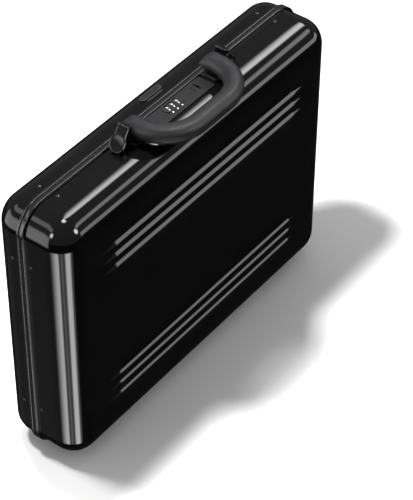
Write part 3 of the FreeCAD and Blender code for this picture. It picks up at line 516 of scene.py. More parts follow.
pin_low, pin_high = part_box("hinge_pin")
HINGE_Z = (pin_low.z + pin_high.z) / 2
HINGE_HALF = pin_high.x + 0.001
rim_path = rounded_path(HALF_X / MM, HALF_Z / MM, PLAN_CORNER,
                        np.linspace(-A, A, 9), np.linspace(-B, B, 7), steps=24)
for half, lip, tongue, groove in (("base", 5.0, 12.0, True), ("lid", 3.0, 8.0, False)):
    section = rim_section(lip, tongue, groove)
    rows = rows_of(rim_path, PLAN_CORNER, section[:, 0], section[:, 1])
    rim = solid(half + "_seam_rim", on_wall(rows, CASES[half]["sign"]),
                band(len(rows), rows.shape[1], ring=True))
    tools = [turned("relief", [(0, -HINGE_HALF / MM), (2.9, -HINGE_HALF / MM), (2.9, HINGE_HALF / MM),
                               (0, HINGE_HALF / MM)], "x", (0, SEAM_Y, HINGE_Z))]
    if half == "base":
        lip_end = SEAM_Y - (GAP + lip) * MM
        tools.append(brick("lock room", lock_low, (lock_high.x, lip_end, TOP + 0.01)))
    carve(rim, *tools)
    finish_piece(rim, looks["frame_trim"], half, half + "_frame")
    print(half, "rim:", len(rim.data.polygons), "faces")

# %% [markdown]
# ## The handle
# A moulded U with a soft, nearly round section. It is a sweep: the section is carried
# along the plan of the bail, and over each heel the section's height shrinks as a half
# round, so that the heel can turn about its pin.

# %% Handle grip
grip_low, grip_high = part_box("handle_grip")
pivot_low, pivot_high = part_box("handle_pin_left")
PIVOT_Y, PIVOT_Z = (pivot_low.y + pivot_high.y) / 2, (pivot_low.z + pivot_high.z) / 2
GRIP_WIDTH, GRIP_HEIGHT, GRIP_ROUND, GRIP_BEND = 22.0, 20.0, 9.3, 44.0
LEG_X = grip_high.x / MM - GRIP_WIDTH / 2
REACH = (PIVOT_Y - grip_low.y) / MM - GRIP_WIDTH / 2


def bail_stations():
    """Centre line of the bail in plan, with the direction across it and the height share at
    each station: heel, leg, quarter arc, front bar, and the mirror of the first half."""
    heel = np.sin(np.linspace(np.pi / 2, 0, 14)) * GRIP_HEIGHT / 2
    leg = np.linspace(0, GRIP_BEND - REACH, 4)[1:]
    arc = np.linspace(0, np.pi / 2, 26)[1:]
    y = np.concatenate([heel, leg, GRIP_BEND - REACH - GRIP_BEND * np.sin(arc)])
    x = np.concatenate([np.full(len(heel) + len(leg), -LEG_X), -LEG_X + GRIP_BEND * (1 - np.cos(arc))])
    turn = np.concatenate([np.zeros(len(heel) + len(leg)), arc])
    share = np.concatenate([np.sqrt(np.maximum(1 - (heel / (GRIP_HEIGHT / 2)) ** 2, 0)),
                            np.ones(len(leg) + len(arc))])
    line = np.column_stack([x, y])
    across = np.column_stack([-np.cos(turn), -np.sin(turn)])
    other = np.column_stack([-x, y])[::-1], np.column_stack([np.cos(turn), -np.sin(turn)])[::-1]
    return np.vstack([line, other[0]]), np.vstack([across, other[1]]), np.concatenate([share, share[::-1]])


def grip_section():
    """A rounded rectangle in (across, up) with a shallow parting line at mid height."""
    flat_us, flat_vs = np.array([-1.7, 0, 1.7]), np.array([-0.7, -0.3, 0, 0.3, 0.7])
    centres, directions = rounded_path(GRIP_WIDTH / 2, GRIP_HEIGHT / 2, GRIP_ROUND, flat_us, flat_vs,
                                       steps=12)
    outline = centres + GRIP_ROUND * directions
    outline[np.abs(outline[:, 1]) < 0.1, 0] *= 0.985
    return outline


line, across, share = bail_stations()
outline = grip_section()
flat = line[:, None] + across[:, None] * outline[None, :, :1]
up = outline[None, :, 1] * share[:, None]
grip_points = np.concatenate([flat, up[..., None]], axis=2)
grip = solid("moulded_grip", on_top(grip_points, (0, PIVOT_Y, PIVOT_Z)),
             band(len(line), len(outline)))
slots = [brick("lug slot", ((s * LEG_X - 4.4) * MM, PIVOT_Y - 7.3 * MM, PIVOT_Z - 20 * MM),
               ((s * LEG_X + 4.4) * MM, PIVOT_Y + 12.7 * MM, PIVOT_Z + 7.3 * MM)) for s in (-1, 1)]
carve(grip, *slots)
finish_piece(grip, looks["grip_plastic"], "handle", "handle_grip")
print("grip:", len(grip.data.polygons), "faces; box", [round(v / MM, 1) for v in grip.dimensions])

# %% [markdown]
# ## Latch levers
# Each lever hangs from a pin on its housing and slopes down beside the handle's heel. Its arm
# widens into a round tongue for the thumb. The blade is a loft along its slope, so the shape
# is worked out flat, as (along, across, out of the blade), and then leaned over the pin.

# %% Latch levers
LEVER_SLOPE, ARM_HALF, TONGUE, TONGUE_AT = math.radians(54), 7.5, 10.2, 19.5
BARREL, BORE, LUG_HALF, BLADE_HALF = 2.4, 1.25, 3.45, 1.2


def leaned(local, pin, side):
    """From (along, across, out) in mm to the case: along runs outward and down at LEVER_SLOPE,
    across is Y, and out is square to both. side is -1 on the left and 1 on the right."""
    cosine, sine = math.cos(LEVER_SLOPE), math.sin(LEVER_SLOPE)
    axes = np.array([[side * cosine, 0, -sine], [0, 1, 0], [side * sine, 0, cosine]])
    return local.reshape(-1, 3) @ axes * MM + np.array(pin)


def blade_rows(columns=40):
    """Rows along the blade. The half width is the arm's, then a circle's chord over the tongue;
    the section is a flat lens whose upper side dips a little under the thumb."""
    swing = np.linspace(-0.68, np.pi / 2, 22)
    along = np.concatenate([[1.0, 1.3, 2.5, 5.0, 8.0, 10.5, 12.0], TONGUE_AT + TONGUE * np.sin(swing)])
    arm = ARM_HALF + np.array([-0.5, -0.1, 0, 0, 0, 0.03, 0.15])
    width = np.concatenate([arm, np.maximum(TONGUE * np.cos(swing), 0.02)])
    around = np.arange(columns) * 2 * np.pi / columns
    cosine, sine = np.cos(around), np.sin(around)
    across = width[:, None] * (np.sign(cosine) * np.abs(cosine) ** 0.35)[None]
    thick = BLADE_HALF * np.minimum(1, (width / 3) ** 0.5)[:, None]
    out = thick * (np.sign(sine) * np.abs(sine) ** 0.5)[None]
    reach = np.hypot(along[:, None] - TONGUE_AT, across) / TONGUE
    dip = 0.55 * np.clip(1 - (reach / 0.8) ** 2, 0, 1) * (out > 0.5)
    return np.stack([np.broadcast_to(along[:, None], out.shape), across, out - dip], -1)


for name, side in (("left", -1), ("right", 1)):
    pin_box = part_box("latch_pin_" + name)
    pin = (pin_box[0] + pin_box[1]) / 2
    rows = blade_rows()
    count = rows.shape[1]
    caps = [list(range(count)), list(range((len(rows) - 1) * count, len(rows) * count))]
    blade = solid("lever_blade_" + name, leaned(rows, pin, side), band(len(rows), count).tolist() + caps)
    finish_piece(blade, looks["latch_gloss"], "lever_" + name, "latch_lever_" + name)
    for end, word in ((-1, "front"), (1, "back")):
        near, far = sorted([end * LUG_HALF, end * ARM_HALF])
        knuckle = turned(f"lever_{name}_knuckle_{word}",
                         [(BORE, near), (BARREL - 0.3, near), (BARREL, near + 0.3), (BARREL, far - 0.3),
                          (BARREL - 0.3, far), (BORE, far), (BORE, near)], "y", pin, 32)
        finish_piece(knuckle, looks["latch_gloss"], "lever_" + name)
print("levers made")

# %% [markdown]
# ## The lock console
# A thin blasted plate between the handle's legs carries a small oblong bezel with three
# windows, a round key lock and a slide button. Plates are rows over a rounded outline with
# softened upper edges, and their openings are milled out afterwards, as on the real part.

# %% Console and bezel
def box_of(node):
    """Centre and half sizes of a node's box: metres for the centre, mm for the sizes."""
    low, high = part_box(node)
    return (low + high) / 2, (high - low) / 2 / MM


console_at, console_half = box_of("lock_console")
bezel_at, bezel_half = box_of("dial_bezel")
key_at, key_half = box_of("key_cylinder")
slider_at, slider_half = box_of("lock_slider")
dial_at, dial_half = box_of("dial_2")
dial_xs = [box_of(f"dial_{n}")[0].x for n in (1, 2, 3)]
console = plate("console_plate", console_half.x, console_half.y, 2.0, 0, 2 * console_half.z, 0.45,
                (console_at.x, console_at.y, TOP))
window_half = bezel_half.y - 0.6
mills = [
    brick("dial room", (dial_xs[1] - 0.01155, dial_at.y - window_half * MM, TOP - 0.001),
          (dial_xs[1] + 0.01155, dial_at.y + window_half * MM, TOP + 0.01)),
    turned("key bore", [(0, -2), (key_half.x + 0.05, -2), (key_half.x + 0.05, 9), (0, 9)], "z",
           (key_at.x, key_at.y, TOP), 48),
    brick("slide slot", (slider_at.x - 0.00115, slider_at.y - (slider_half.y + 5.3) * MM, TOP - 0.001),
          (slider_at.x + 0.00115, slider_at.y + (slider_half.y + 0.3) * MM, TOP + 0.01)),
]
carve(console, *mills)
finish_piece(console, looks["console_gray"], "base", "lock_console")
bezel = plate("dial_surround", bezel_half.x, bezel_half.y, bezel_half.y / 1.15, 0, 2 * bezel_half.z, 0.5,
              (bezel_at.x, bezel_at.y, bezel_at.z - bezel_half.z * MM), steps=12)
WINDOW_U, WINDOW_V = 0.0028, 0.0049
carve(bezel, *[brick("window", (x - WINDOW_U, dial_at.y - WINDOW_V, TOP),
                     (x + WINDOW_U, dial_at.y + WINDOW_V, TOP + 0.01)) for x in dial_xs])
finish_piece(bezel, looks["bezel_satin"], "base", "dial_bezel")
print("console and bezel made")

# %% [markdown]
# ## Numbered wheels
# Each wheel is a lathe form whose radius dips at ten flutes, and the ten numerals stand on
# the lands between them. A numeral is made flat from the plain built-in font, then wrapped:
# its height becomes an angle round the wheel.

# %% Dials with wrapped numerals
DIAL_RADIUS = dial_half.z
NUMERAL = 3.6


def fluted(angle):
    """Share of the radius: one, less a narrow dip at each of ten flutes."""
    turn = (angle * 10 / (2 * np.pi)) % 1
    away = np.minimum(turn, 1 - turn)
    return 1 - 0.05 * np.clip(1 - away / 0.11, 0, 1) ** 0.7


def numeral_ring(name, x, y, z):
    """Ten numerals round one wheel, joined in one mesh. For numeral k a flat point (a, b) goes
    to the angle k * 36 degrees plus b over the radius, at a along the shaft."""
    points, faces, first = [], [], 0
    for k in range(10):
        text = bpy.data.curves.new("numeral", "FONT")
        text.body, text.size, text.extrude = str(k), NUMERAL, 0.06
        text.align_x, text.align_y, text.resolution_u = "CENTER", "CENTER", 3
        flat = bpy.data.objects.new("numeral", text)
        bpy.context.scene.collection.objects.link(flat)
        bpy.context.view_layer.update()
        mesh = bpy.data.meshes.new_from_object(flat.evaluated_get(bpy.context.evaluated_depsgraph_get()))
        local = np.array([v.co for v in mesh.vertices])
        angle = np.radians(36 * k) + local[:, 1] / DIAL_RADIUS
        radius = DIAL_RADIUS + 0.04 + local[:, 2]
        points.append(np.column_stack([x + local[:, 0] * MM, y + radius * np.sin(angle) * MM,
                                       z + radius * np.cos(angle) * MM]))
        faces += [[first + i for i in p.vertices] for p in mesh.polygons]
        first += len(local)
        bpy.data.objects.remove(flat)
        bpy.data.meshes.remove(mesh)
    return solid(name, np.vstack(points), faces)


for n, x in enumerate(dial_xs, start=1):
    bevel, half = 0.45, dial_half.x
    wheel = turned(f"wheel_{n}", [(1.55, -half), (DIAL_RADIUS - bevel, -half), (DIAL_RADIUS, -half + bevel),
                                  (DIAL_RADIUS, half - bevel), (DIAL_RADIUS - bevel, half), (1.55, half),
                                  (1.55, -half)], "x", (x, dial_at.y, dial_at.z), 120, fluted)
    finish_piece(wheel, looks["dial_plastic"], f"dial_{n}", f"dial_{n}")
    finish_piece(numeral_ring(f"numerals_{n}", x, dial_at.y, dial_at.z), numeral_look, f"dial_{n}")
print("three wheels, thirty numerals")

# %% [markdown]
# ## Key lock, slide button and badge
# Small turned and moulded parts. The key plug has a dished face, a keyway and a bright
# ring round it. The badge is a blank plate: whatever a maker might print there is left out.

# %% Key plug, ring and badge
key_low, key_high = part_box("key_cylinder")
radius, tall = key_half.x, (key_high.z - key_low.z) / MM
plug_profile = [(0, 0), (radius, 0), (radius, tall - 0.5), (radius - 0.5, tall), (radius - 1.1, tall),
                (radius - 1.5, tall - 0.35), (0, tall - 0.35)]
plug = turned("key_plug", plug_profile, "z", (key_at.x, key_at.y, key_low.z), 56)
carve(plug, brick("keyway", (key_at.x - 0.0005, key_at.y - 0.0026, key_high.z - 0.006),
                  (key_at.x + 0.0005, key_at.y + 0.0026, key_high.z + 0.001)))
finish_piece(plug, looks["lock_black"], "key", "key_cylinder")
ring_z = TOP + 2 * console_half.z * MM
collar_profile = [(radius + 0.1, 0), (radius + 1.3, 0), (radius + 1.3, 0.35), (radius + 0.9, 0.7),
                  (radius + 0.1, 0.7), (radius + 0.1, 0)]
collar = turned("key_collar", collar_profile, "z", (key_at.x, key_at.y, ring_z), 56)
finish_piece(collar, looks["bezel_satin"], "base")
badge_low, badge_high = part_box("badge")
badge_plate = plate("badge_plate", 16.5, 4.0, 3.6, 0, (badge_high.z - badge_low.z) / MM, 0.6,
                    (0, badge_high.y - 0.004, badge_low.z), steps=12)
finish_piece(badge_plate, looks["bezel_satin"], "lid", "badge")
badge_field = plate("badge_field", 14.6, 2.7, 2.4, 0, 0.12, 0.05,
                    (0, badge_high.y - 0.004, badge_high.z - 0.00006), steps=12)
finish_piece(badge_field, looks["lock_black"], "lid")
badge_bar = plate("badge_step", 12.4, 1.2, 0.8, 0, 1.2, 0.3, (0, badge_low.y + 0.0012, TOP - 0.0002))
finish_piece(badge_bar, looks["bezel_satin"], "lid")
print("lock plug, collar and badge made")

# %% [markdown]
# ## Rivets and feet
# Rivets are small lathe forms with a ring groove; feet are soft-edged rubber blocks.

# %% Rivets and feet
RIVET_PROFILE = [(0, -0.3), (2.3, -0.3), (2.3, 0.25), (1.95, 0.6), (1.55, 0.55), (1.3, 0.62), (0.8, 0.86),
                 (0, 0.92)]


def rivet_set(name, half):
    """Six rivets of one rim as one piece: two on top, two on each end."""
    low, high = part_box(half + "_rivets")
    y = (low.y + high.y) / 2
    top_x = 183.0 * MM
    places = [((s * top_x, y, TOP), "z", 1) for s in (-1, 1)]
    places += [((s * HALF_X, y, MID_Z + t * 103.8 * MM), "x", s) for s in (-1, 1) for t in (-1, 1)]
    points, faces, first = [], [], 0
    for at, axis, sign in places:
        one = turned("rivet", [(r, sign * h) for r, h in RIVET_PROFILE], axis, at, 24)
        co = np.array([v.co for v in one.data.vertices])
        faces += [[first + i for i in p.vertices] for p in one.data.polygons]
        points.append(co)
        first += len(co)
        bpy.data.objects.remove(one)
    return solid(name, np.vstack(points), faces)


for half in CASES:
    heads = rivet_set(half + "_rivet_heads", half)
    finish_piece(heads, looks["rivet_dark"], half, half + "_rivets")
    low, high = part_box(half + "_feet")
    centre_y, half_v = (low.y + high.y) / 2, (high.y - low.y) / 2 / MM
    for s, side in ((-1, "l"), (1, "r")):
        foot = plate(f"{half}_foot_{side}", 12.0, half_v, half_v / 1.3, -BOTTOM / MM, 0, 0.9, (0, 0, 0))
        flipped = np.array([v.co for v in foot.data.vertices]) * [1, 1, -1] + [s * 0.184, centre_y, 0]
        foot.data.vertices.foreach_set("co", flipped.astype(np.float32).ravel())
        foot.data.flip_normals()
        finish_piece(foot, looks["rubber_black"], half, half + "_feet" if s < 0 else ())
print("rivets and feet made")

# %% [markdown]
# ## Soft fittings inside
# The inside is lined and fitted out: a quilted pad on the base's broad face, and on the lid a
# covered board with a gathered file pocket, tiers for cards and elastic pen loops. All but the
# loops, which are rings, are a closed skin over a rounded rectangle. The face is a height worked
# out from the place on it, so quilting, gathers and rolled edges are all one formula, and thread
# is laid on afterwards. A cloth simulation suits thick cushions; these are a few millimetres.

# %% A skin over a rounded rectangle
def soft_grid(half_u, half_v, corner, columns, rows):
    """Grid over a rounded rectangle. Each row is drawn in near the corners by corner minus the
    root of corner squared less the distance past the corner's centre squared."""
    lean = np.linspace(-1, 1, columns)
    lean = np.sign(lean) * (1 - (1 - np.abs(lean)) ** 1.25)
    rise = np.linspace(-1, 1, rows)
    v = np.sign(rise) * (1 - (1 - np.abs(rise)) ** 1.25) * half_v
    past = np.maximum(np.abs(v) - (half_v - corner), 0)
    reach = half_u - (corner - np.sqrt(np.maximum(corner ** 2 - past ** 2, 0)))
    return lean[None] * reach[:, None], np.broadcast_to(v[:, None], (rows, columns)), reach[:, None] - np.abs(
        lean[None] * reach[:, None]), half_v - np.abs(np.broadcast_to(v[:, None], (rows, columns)))


def roll(away, width):
    """0 at the edge, 1 past the width, along a quarter round."""
    t = np.clip(away / width, 0, 1)
    return np.sqrt(np.maximum(1 - (1 - t) ** 2, 0))


def soft_skin(name, u, v, face, back):
    """A closed skin: the face's grid at height face, the same grid turned round at height back,
    and a band joining their borders. Heights are away from the lining, in mm."""
    rows, columns = u.shape
    points = np.vstack([np.stack([u, v, face], -1).reshape(-1, 3), np.stack([u, v, back], -1).reshape(-1, 3)])
    index = np.arange(rows * columns).reshape(rows, columns)
    border = np.concatenate([index[0, :-1], index[:-1, -1], index[-1, :0:-1], index[:0:-1, 0]])
    following = np.roll(border, -1)
    size = rows * columns
    edge = np.stack([border, following, following + size, border + size], -1)
    return name, points, np.vstack([patch(rows, columns), patch(rows, columns, size), edge])


def hang(skin, at, facing):
    """Put a skin in the case: across is X, up is Z, and heights run along facing, -1 or 1."""
    name, points, faces = skin
    placed = np.column_stack([points[:, 0], facing * points[:, 2], points[:, 1]]) * MM + np.array(at)
    return solid(name, placed, faces)


def stitches(name, runs, facing, body, pitch=3.6):
    """Thread laid along runs of points in mm: each stitch is a small grain with a low arched
    back, as long as 0.7 of the pitch, turned along the run."""
    stations = np.array([-1, -0.6, 0.6, 1.0]) * pitch * 0.35
    arch = np.array([0.12, 1, 1, 0.12])
    points, faces, first = [], [], 0
    for run in runs:
        run = np.asarray(run, float)
        step = np.linalg.norm(np.diff(run, axis=0), axis=1)
        length = np.concatenate([[0], np.cumsum(step)])
        at = np.arange(pitch, length[-1] - pitch / 2, pitch)
        centre = np.stack([np.interp(at, length, run[:, k]) for k in range(3)], -1)
        ahead = np.stack([np.interp(at + 0.5, length, run[:, k]) for k in range(3)], -1)
        along = (ahead - centre) / np.linalg.norm(ahead - centre, axis=1)[:, None]
        out = np.array([0.0, facing, 0.0])
        aside = np.cross(along, out)
        grain = centre[:, None, None] + along[:, None, None] * stations[None, :, None, None]
        sides, lift = np.array([-0.32, 0, 0.32]), np.array([-0.05, 0.34, -0.05])
        grain = grain + aside[:, None, None] * (sides[None] * arch[:, None])[None, ..., None]
        grain = grain + out * (lift[None] * arch[:, None])[None, ..., None]
        points.append(grain.reshape(-1, 3))
        one = band(4, 3).tolist()
        for k in range(len(at)):
            start = first + 12 * k
            faces += [[start + i for i in f] for f in one] + [[start, start + 2, start + 1],
                                                              [start + 9, start + 10, start + 11]]
        first += 12 * len(at)
    return finish_piece(solid(name, np.vstack(points) * MM, faces), thread_look, body)


def frame_run(half_u, half_v, at, y):
    """A closed rectangular run of points about a place, in mm."""
    u = np.array([-half_u, half_u, half_u, -half_u, -half_u])
    v = np.array([-half_v, -half_v, half_v, half_v, -half_v])
    return np.column_stack([at[0] + u, np.full(5, y), at[1] + v])


print("soft helpers ready")

# %% Quilted pad of the base
QUILT, QUILT_DEPTH = 26.0, 1.9
pad_at, pad_half = box_of("base_pad")
u, v, side_way, up_way = soft_grid(pad_half.x, pad_half.z, 12.0, 241, 169)
border = 11.0
inside = np.minimum(side_way, up_way)
lattice = np.abs(np.sin(np.pi * (u + v) / QUILT) * np.sin(np.pi * (u - v) / QUILT)) ** 0.45
puffed = np.clip((inside - border) / 7, 0, 1)
welt = np.sqrt(np.clip(inside / border * (2 - inside / border), 0, 1)) * (inside < border)
height = 2 * pad_half.y - QUILT_DEPTH + QUILT_DEPTH * np.where(inside < border, welt, lattice * puffed)
height *= roll(inside, 2.5)
pad = hang(soft_skin("quilted_base_pad", u, v, height, 0 * u),
           (pad_at.x, pad_at.y - pad_half.y * MM, pad_at.z), 1)
finish_piece(pad, looks["lining_pad"], "base", "base_pad", crease=60)
pad_face = (pad_at.y + pad_half.y * MM) / MM - QUILT_DEPTH
pad_run = frame_run(pad_half.x - border, pad_half.z - border, (0, pad_at.z / MM), pad_face)
stitches("base_pad_thread", [pad_run], 1, "base")
print("base pad:", len(pad.data.polygons), "faces")

# %% Covered board of the lid
board_at, board_half = box_of("organizer_panel")
u, v, side_way, up_way = soft_grid(board_half.x, board_half.z, 12.0, 81, 61)
inside = np.minimum(side_way, up_way)
height = 2 * board_half.y * roll(inside, 1.8) - 0.25 * np.exp(-((inside - 6.0) / 1.2) ** 2)
board = hang(soft_skin("covered_board", u, v, height, 0 * u),
             (0, board_at.y + board_half.y * MM, board_at.z), -1)
finish_piece(board, looks["lining_pad"], "lid", "organizer_panel", crease=60)
board_face = (board_at.y - board_half.y * MM) / MM
board_run = frame_run(board_half.x - 6, board_half.z - 6, (0, board_at.z / MM), board_face)
stitches("board_thread", [board_run], -1, "lid")
print("board face at y =", round(board_face, 2))

# %% Gathered file pocket
CLOTH = 1.1
pocket_at, pocket_half = box_of("file_pocket")
u, v, side_way, up_way = soft_grid(pocket_half.x, pocket_half.z, 8.0, 301, 61)
climb = (v + pocket_half.z) / (2 * pocket_half.z)
belly = np.sin(np.pi / 2 * np.clip(climb * 1.25, 0, 1)) * roll(side_way, 60) ** 1.5
deepest = 2 * pocket_half.y - CLOTH - 1.0
gather = 0.45 * (1 + np.sin(2 * np.pi * u / 9.0)) * climb ** 4 * roll(side_way, 12)
height = 0.2 + CLOTH + (deepest - 1.2) * belly * (1 - 0.12 * climb ** 8) + gather
pocket = hang(soft_skin("gathered_file_pocket", u, v, height, height - CLOTH),
              (0, pocket_at.y + pocket_half.y * MM, pocket_at.z), -1)
finish_piece(pocket, looks["pocket_cloth"], "lid", "file_pocket", crease=60)
top_row = len(u) - 4
edge_y = pocket_at.y / MM + pocket_half.y - height[top_row]
edge = np.column_stack([u[top_row], edge_y, pocket_at.z / MM + v[top_row]])
ring = np.linspace(0, 2 * np.pi, 13)[:-1]
tall_ring = 3.4 * np.sign(np.cos(ring)) * np.abs(np.cos(ring)) ** 0.6
swell = np.stack([0 * ring, 1.15 * np.sin(ring) + CLOTH / 2, tall_ring], -1)
binding_points = edge[:, None] + swell[None] - np.array([0, 0, 1.2])
caps = [list(range(12)), list(range((len(edge) - 1) * 12, len(edge) * 12))]
binding = solid("pocket_binding", binding_points.reshape(-1, 3) * MM, band(len(edge), 12).tolist() + caps)
finish_piece(binding, looks["elastic"], "lid", crease=60)
seam_y, seam_in = pocket_at.y / MM + pocket_half.y - CLOTH - 0.9, 2.5
seam_ends = (pocket_half.z - 8, seam_in - pocket_half.z)
side_run = [[s * (pocket_half.x - seam_in), seam_y, pocket_at.z / MM + z]
            for s, ends in ((-1, seam_ends), (1, seam_ends[::-1])) for z in ends]
stitches("pocket_thread", [side_run], -1, "lid")

# %% Card tiers
cards_at, cards_half = box_of("card_pocket")
tiers, TIER_HEM = 3, 1.5
for k in range(tiers):
    tall = cards_half.z - 9.0 * k
    layer = 2 * cards_half.y / tiers
    u, v, side_way, up_way = soft_grid(cards_half.x, tall, 4.0, 61, 41)
    inside = np.minimum(side_way, up_way)
    height = (k + 0.9) * layer * (0.35 + 0.65 * roll(side_way, 9)) * (0.5 + 0.5 * roll(v + tall, 12))
    at = (cards_at.x, cards_at.y + cards_half.y * MM, cards_at.z - (cards_half.z - tall) * MM)
    tier = hang(soft_skin(f"card_tier_{k + 1}", u, v, height, height - 0.9), at, -1)
    replaced = "card_pocket" if k == 0 else ()
    finish_piece(tier, looks["pocket_cloth"], "lid", replaced, crease=60)
    line_y = (cards_at.y / MM + cards_half.y) - (k + 0.9) * layer - 0.02
    top = (cards_at.z / MM - cards_half.z) + 2 * tall - 3.5
    stitches(f"card_thread_{k + 1}", [[[cards_at.x / MM - cards_half.x + 12, line_y, top],
                                       [cards_at.x / MM + cards_half.x - 12, line_y, top]]], -1, "lid")
print("card tiers:", tiers)

# %% Elastic pen loops
loops_at, loops_half = box_of("pen_loops")
LOOP_RADIUS, LOOP_WALL, LOOP_PITCH, LOOPS = 6.5, 1.2, 26.0, 4
points, faces, first = [], [], 0
base_y = loops_at.y / MM + loops_half.y
for k in range(LOOPS):
    centre = loops_at.x / MM - loops_half.x + LOOP_RADIUS + LOOP_PITCH * k
    turn = np.linspace(0.0, 2 * np.pi, 49)[:-1]
    squash = np.where(np.sin(turn) > 0, 1.0, 0.92)
    levels = np.array([-1, -0.985, -0.9, 0, 0.9, 0.985, 1.0]) * loops_half.z
    thick = np.array([0.5, 0.9, 1.0, 1.0, 1.0, 0.9, 0.5]) * LOOP_WALL
    walls = []
    for sign, order in ((-1, 1), (1, -1)):
        for t, z in zip(thick[::order], levels[::order]):
            reach = LOOP_RADIUS - (LOOP_WALL + sign * t) / 2
            walls.append(np.column_stack([centre + reach * np.cos(turn),
                                          base_y - LOOP_RADIUS + reach * np.sin(turn) * squash,
                                          np.full(48, loops_at.z / MM + z)]))
    rows = np.array(walls)
    points.append(rows.reshape(-1, 3))
    faces += band(len(rows), 48, ring=True, first=first).tolist()
    first += rows.shape[0] * 48
loops = solid("elastic_pen_loops", np.vstack(points) * MM, faces)
finish_piece(loops, looks["elastic"], "lid", "pen_loops", crease=50)
tacks = [[[loops_at.x / MM - loops_half.x + LOOP_RADIUS * (1 + s * 1.25) + LOOP_PITCH * k, board_face, z]
          for z in (loops_at.z / MM - loops_half.z, loops_at.z / MM + loops_half.z)]
         for k in range(LOOPS) for s in (-1, 1)]
stitches("pen_loop_thread", tacks, -1, "lid")
print("pen loops:", LOOPS)

# %% [markdown]
# ## Parts that keep their CAD shape
# Machined parts are already right, so they only need their finish.

# %% Finishes of the carried-over parts
kept = {
    "rubber_black": ["gasket"],
    "steel": ["hinge_pin", "stay_arm_left", "stay_arm_right", "stay_pivot_left", "stay_pivot_right",
              "stay_stud_left", "stay_stud_right", "dial_shaft", "handle_core", "handle_pin_left",
              "handle_pin_right", "latch_catch_left", "latch_catch_right"],
    "dark_metal": ["hinge_leaf_base", "hinge_leaf_lid", "lock_case", "handle_bracket_left",
                   "handle_bracket_right"],
    "rivet_dark": ["hinge_rivets_base", "hinge_rivets_lid"],
    "chrome": ["latch_pin_left", "latch_pin_right"],
    "latch_gloss": ["latch_housing_left", "latch_housing_right"],
    "marker_white": ["dial_markers"],
    "lock_black": ["lock_slider"],
}
for slot, nodes in kept.items():
    for node in nodes:
        frame["nodes"][node].data.materials.clear()
        frame["nodes"][node].data.materials.append(looks[slot])
stood_for = {n for o in bpy.data.objects for n in o.get("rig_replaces", [])}
left_plain = set(frame["nodes"]) - stood_for - {n for nodes in kept.values() for n in nodes}
print("nodes without a finish:", sorted(left_plain))

# %% [markdown]
# ## Camera
# A long lens stands to the left and in front of the case and looks down on it.

# %% Camera
def looking(azimuth, elevation, roll):
    """Camera axes: forward points down the view, right is level, and both turn by the roll."""
    a, e, r = np.radians([azimuth, elevation, roll])
    forward = np.array([-np.sin(a) * np.cos(e), np.cos(a) * np.cos(e), -np.sin(e)])
    right = np.cross(forward, [0, 0, 1])
    right /= np.linalg.norm(right)
    above = np.cross(right, forward)
    return (right * np.cos(r) + above * np.sin(r), -right * np.sin(r) + above * np.cos(r), forward)


camera_data = bpy.data.cameras.new("camera")
camera_data.lens, camera_data.sensor_width = 143.81, 36.0
camera_data.sensor_fit = "AUTO"
camera = bpy.data.objects.new("camera", camera_data)
bpy.context.scene.collection.objects.link(camera)
right, above, forward = looking(-52.967, 42.759, 0.367)
place = np.eye(4)
place[:3, 0], place[:3, 1], place[:3, 2] = right, above, -forward
place[:3, 3] = (-1.278956, -1.006643, 1.646418)
camera.matrix_world = Matrix(place.tolist())
bpy.context.scene.camera = camera
print("camera looks along", np.round(forward, 3))

# %% [markdown]
# ## Floor, light and what the lacquer reflects
# Black lacquer has no look of its own: it shows the room. A large sphere that only mirror
# rays can see stands in for a studio, dark with a few soft panels. Its brightness is a
# function of direction alone. The pale floor and the soft key lights do the rest.

# %% Studio sphere
def smooth(value, low, high):
    """0 below low, 1 above high, with an S-curve between."""
    t = np.clip((value - low) / (high - low), 0, 1)
    return t * t * (3 - 2 * t)


def window_of(value, low, high, soft):
    """1 between low and high, easing to 0 over soft on both sides."""
    return smooth(value, low - soft, low) * (1 - smooth(value, high, high + soft))


LAMPS = ((-41.5, 84.0, 8, 7, 16.0), (-75.0, 30.0, 7, 9, 16.0), (174.0, 28.0, 7, 8, 12.0))


def studio_light(azimuth, elevation):
    """Brightness of the studio by direction in degrees, azimuth from +X towards +Y. Below the
    horizon two soft upright panels stand to the front left, with a thin line of light between
    them; above it are bands of grey wall in front, a bright panel to the right of them and two
    low patches to the left. Each of LAMPS is a small bright soft box, as (azimuth, elevation,
    half width, half height, level), which only the case's corners mirror. The lacquer gives
    back about a twentieth of it all, so a level of 10 looks nearly white and 3 mid grey."""
    turn = np.where(azimuth > 0, azimuth - 360, azimuth)
    panels = 6.6 * window_of(turn, -128, -118, 9)
    panels += 6.6 * smooth(turn, -194, -161) * (1 - smooth(turn, -162, -154))
    panels += 0.8 * window_of(turn, -152, -107, 5) + 0.7 * window_of(turn, -148, -145, 3)
    panels += 0.09 * window_of(turn, -250, -190, 20)
    down = 0.02 + panels * window_of(elevation, -51, -38, 5)
    front = window_of(azimuth, -62, -26, 6)
    wall = 3.0 * window_of(elevation, 4.5, 12, 4) + 3.3 * window_of(elevation, 35.5, 40.5, 4)
    panel = 9.8 * smooth(azimuth, -9, 1.5) * (1 - smooth(azimuth, 7, 34)) * smooth(elevation, 40, 45)
    sides = window_of(azimuth, 118, 165, 8)
    patches = 2.6 * window_of(elevation, -15, 13, 10) + 1.9 * window_of(elevation, 39, 46, 5)
    lamps = sum(level * np.exp(-(((azimuth - at) * np.cos(np.radians(elevation)) / across) ** 2
                                 + ((elevation - height) / tall) ** 2) ** 3)
                for at, height, across, tall, level in LAMPS)
    up = 0.18 + front * wall + panel + lamps
    return np.where(elevation < 0, down, up) + sides * patches


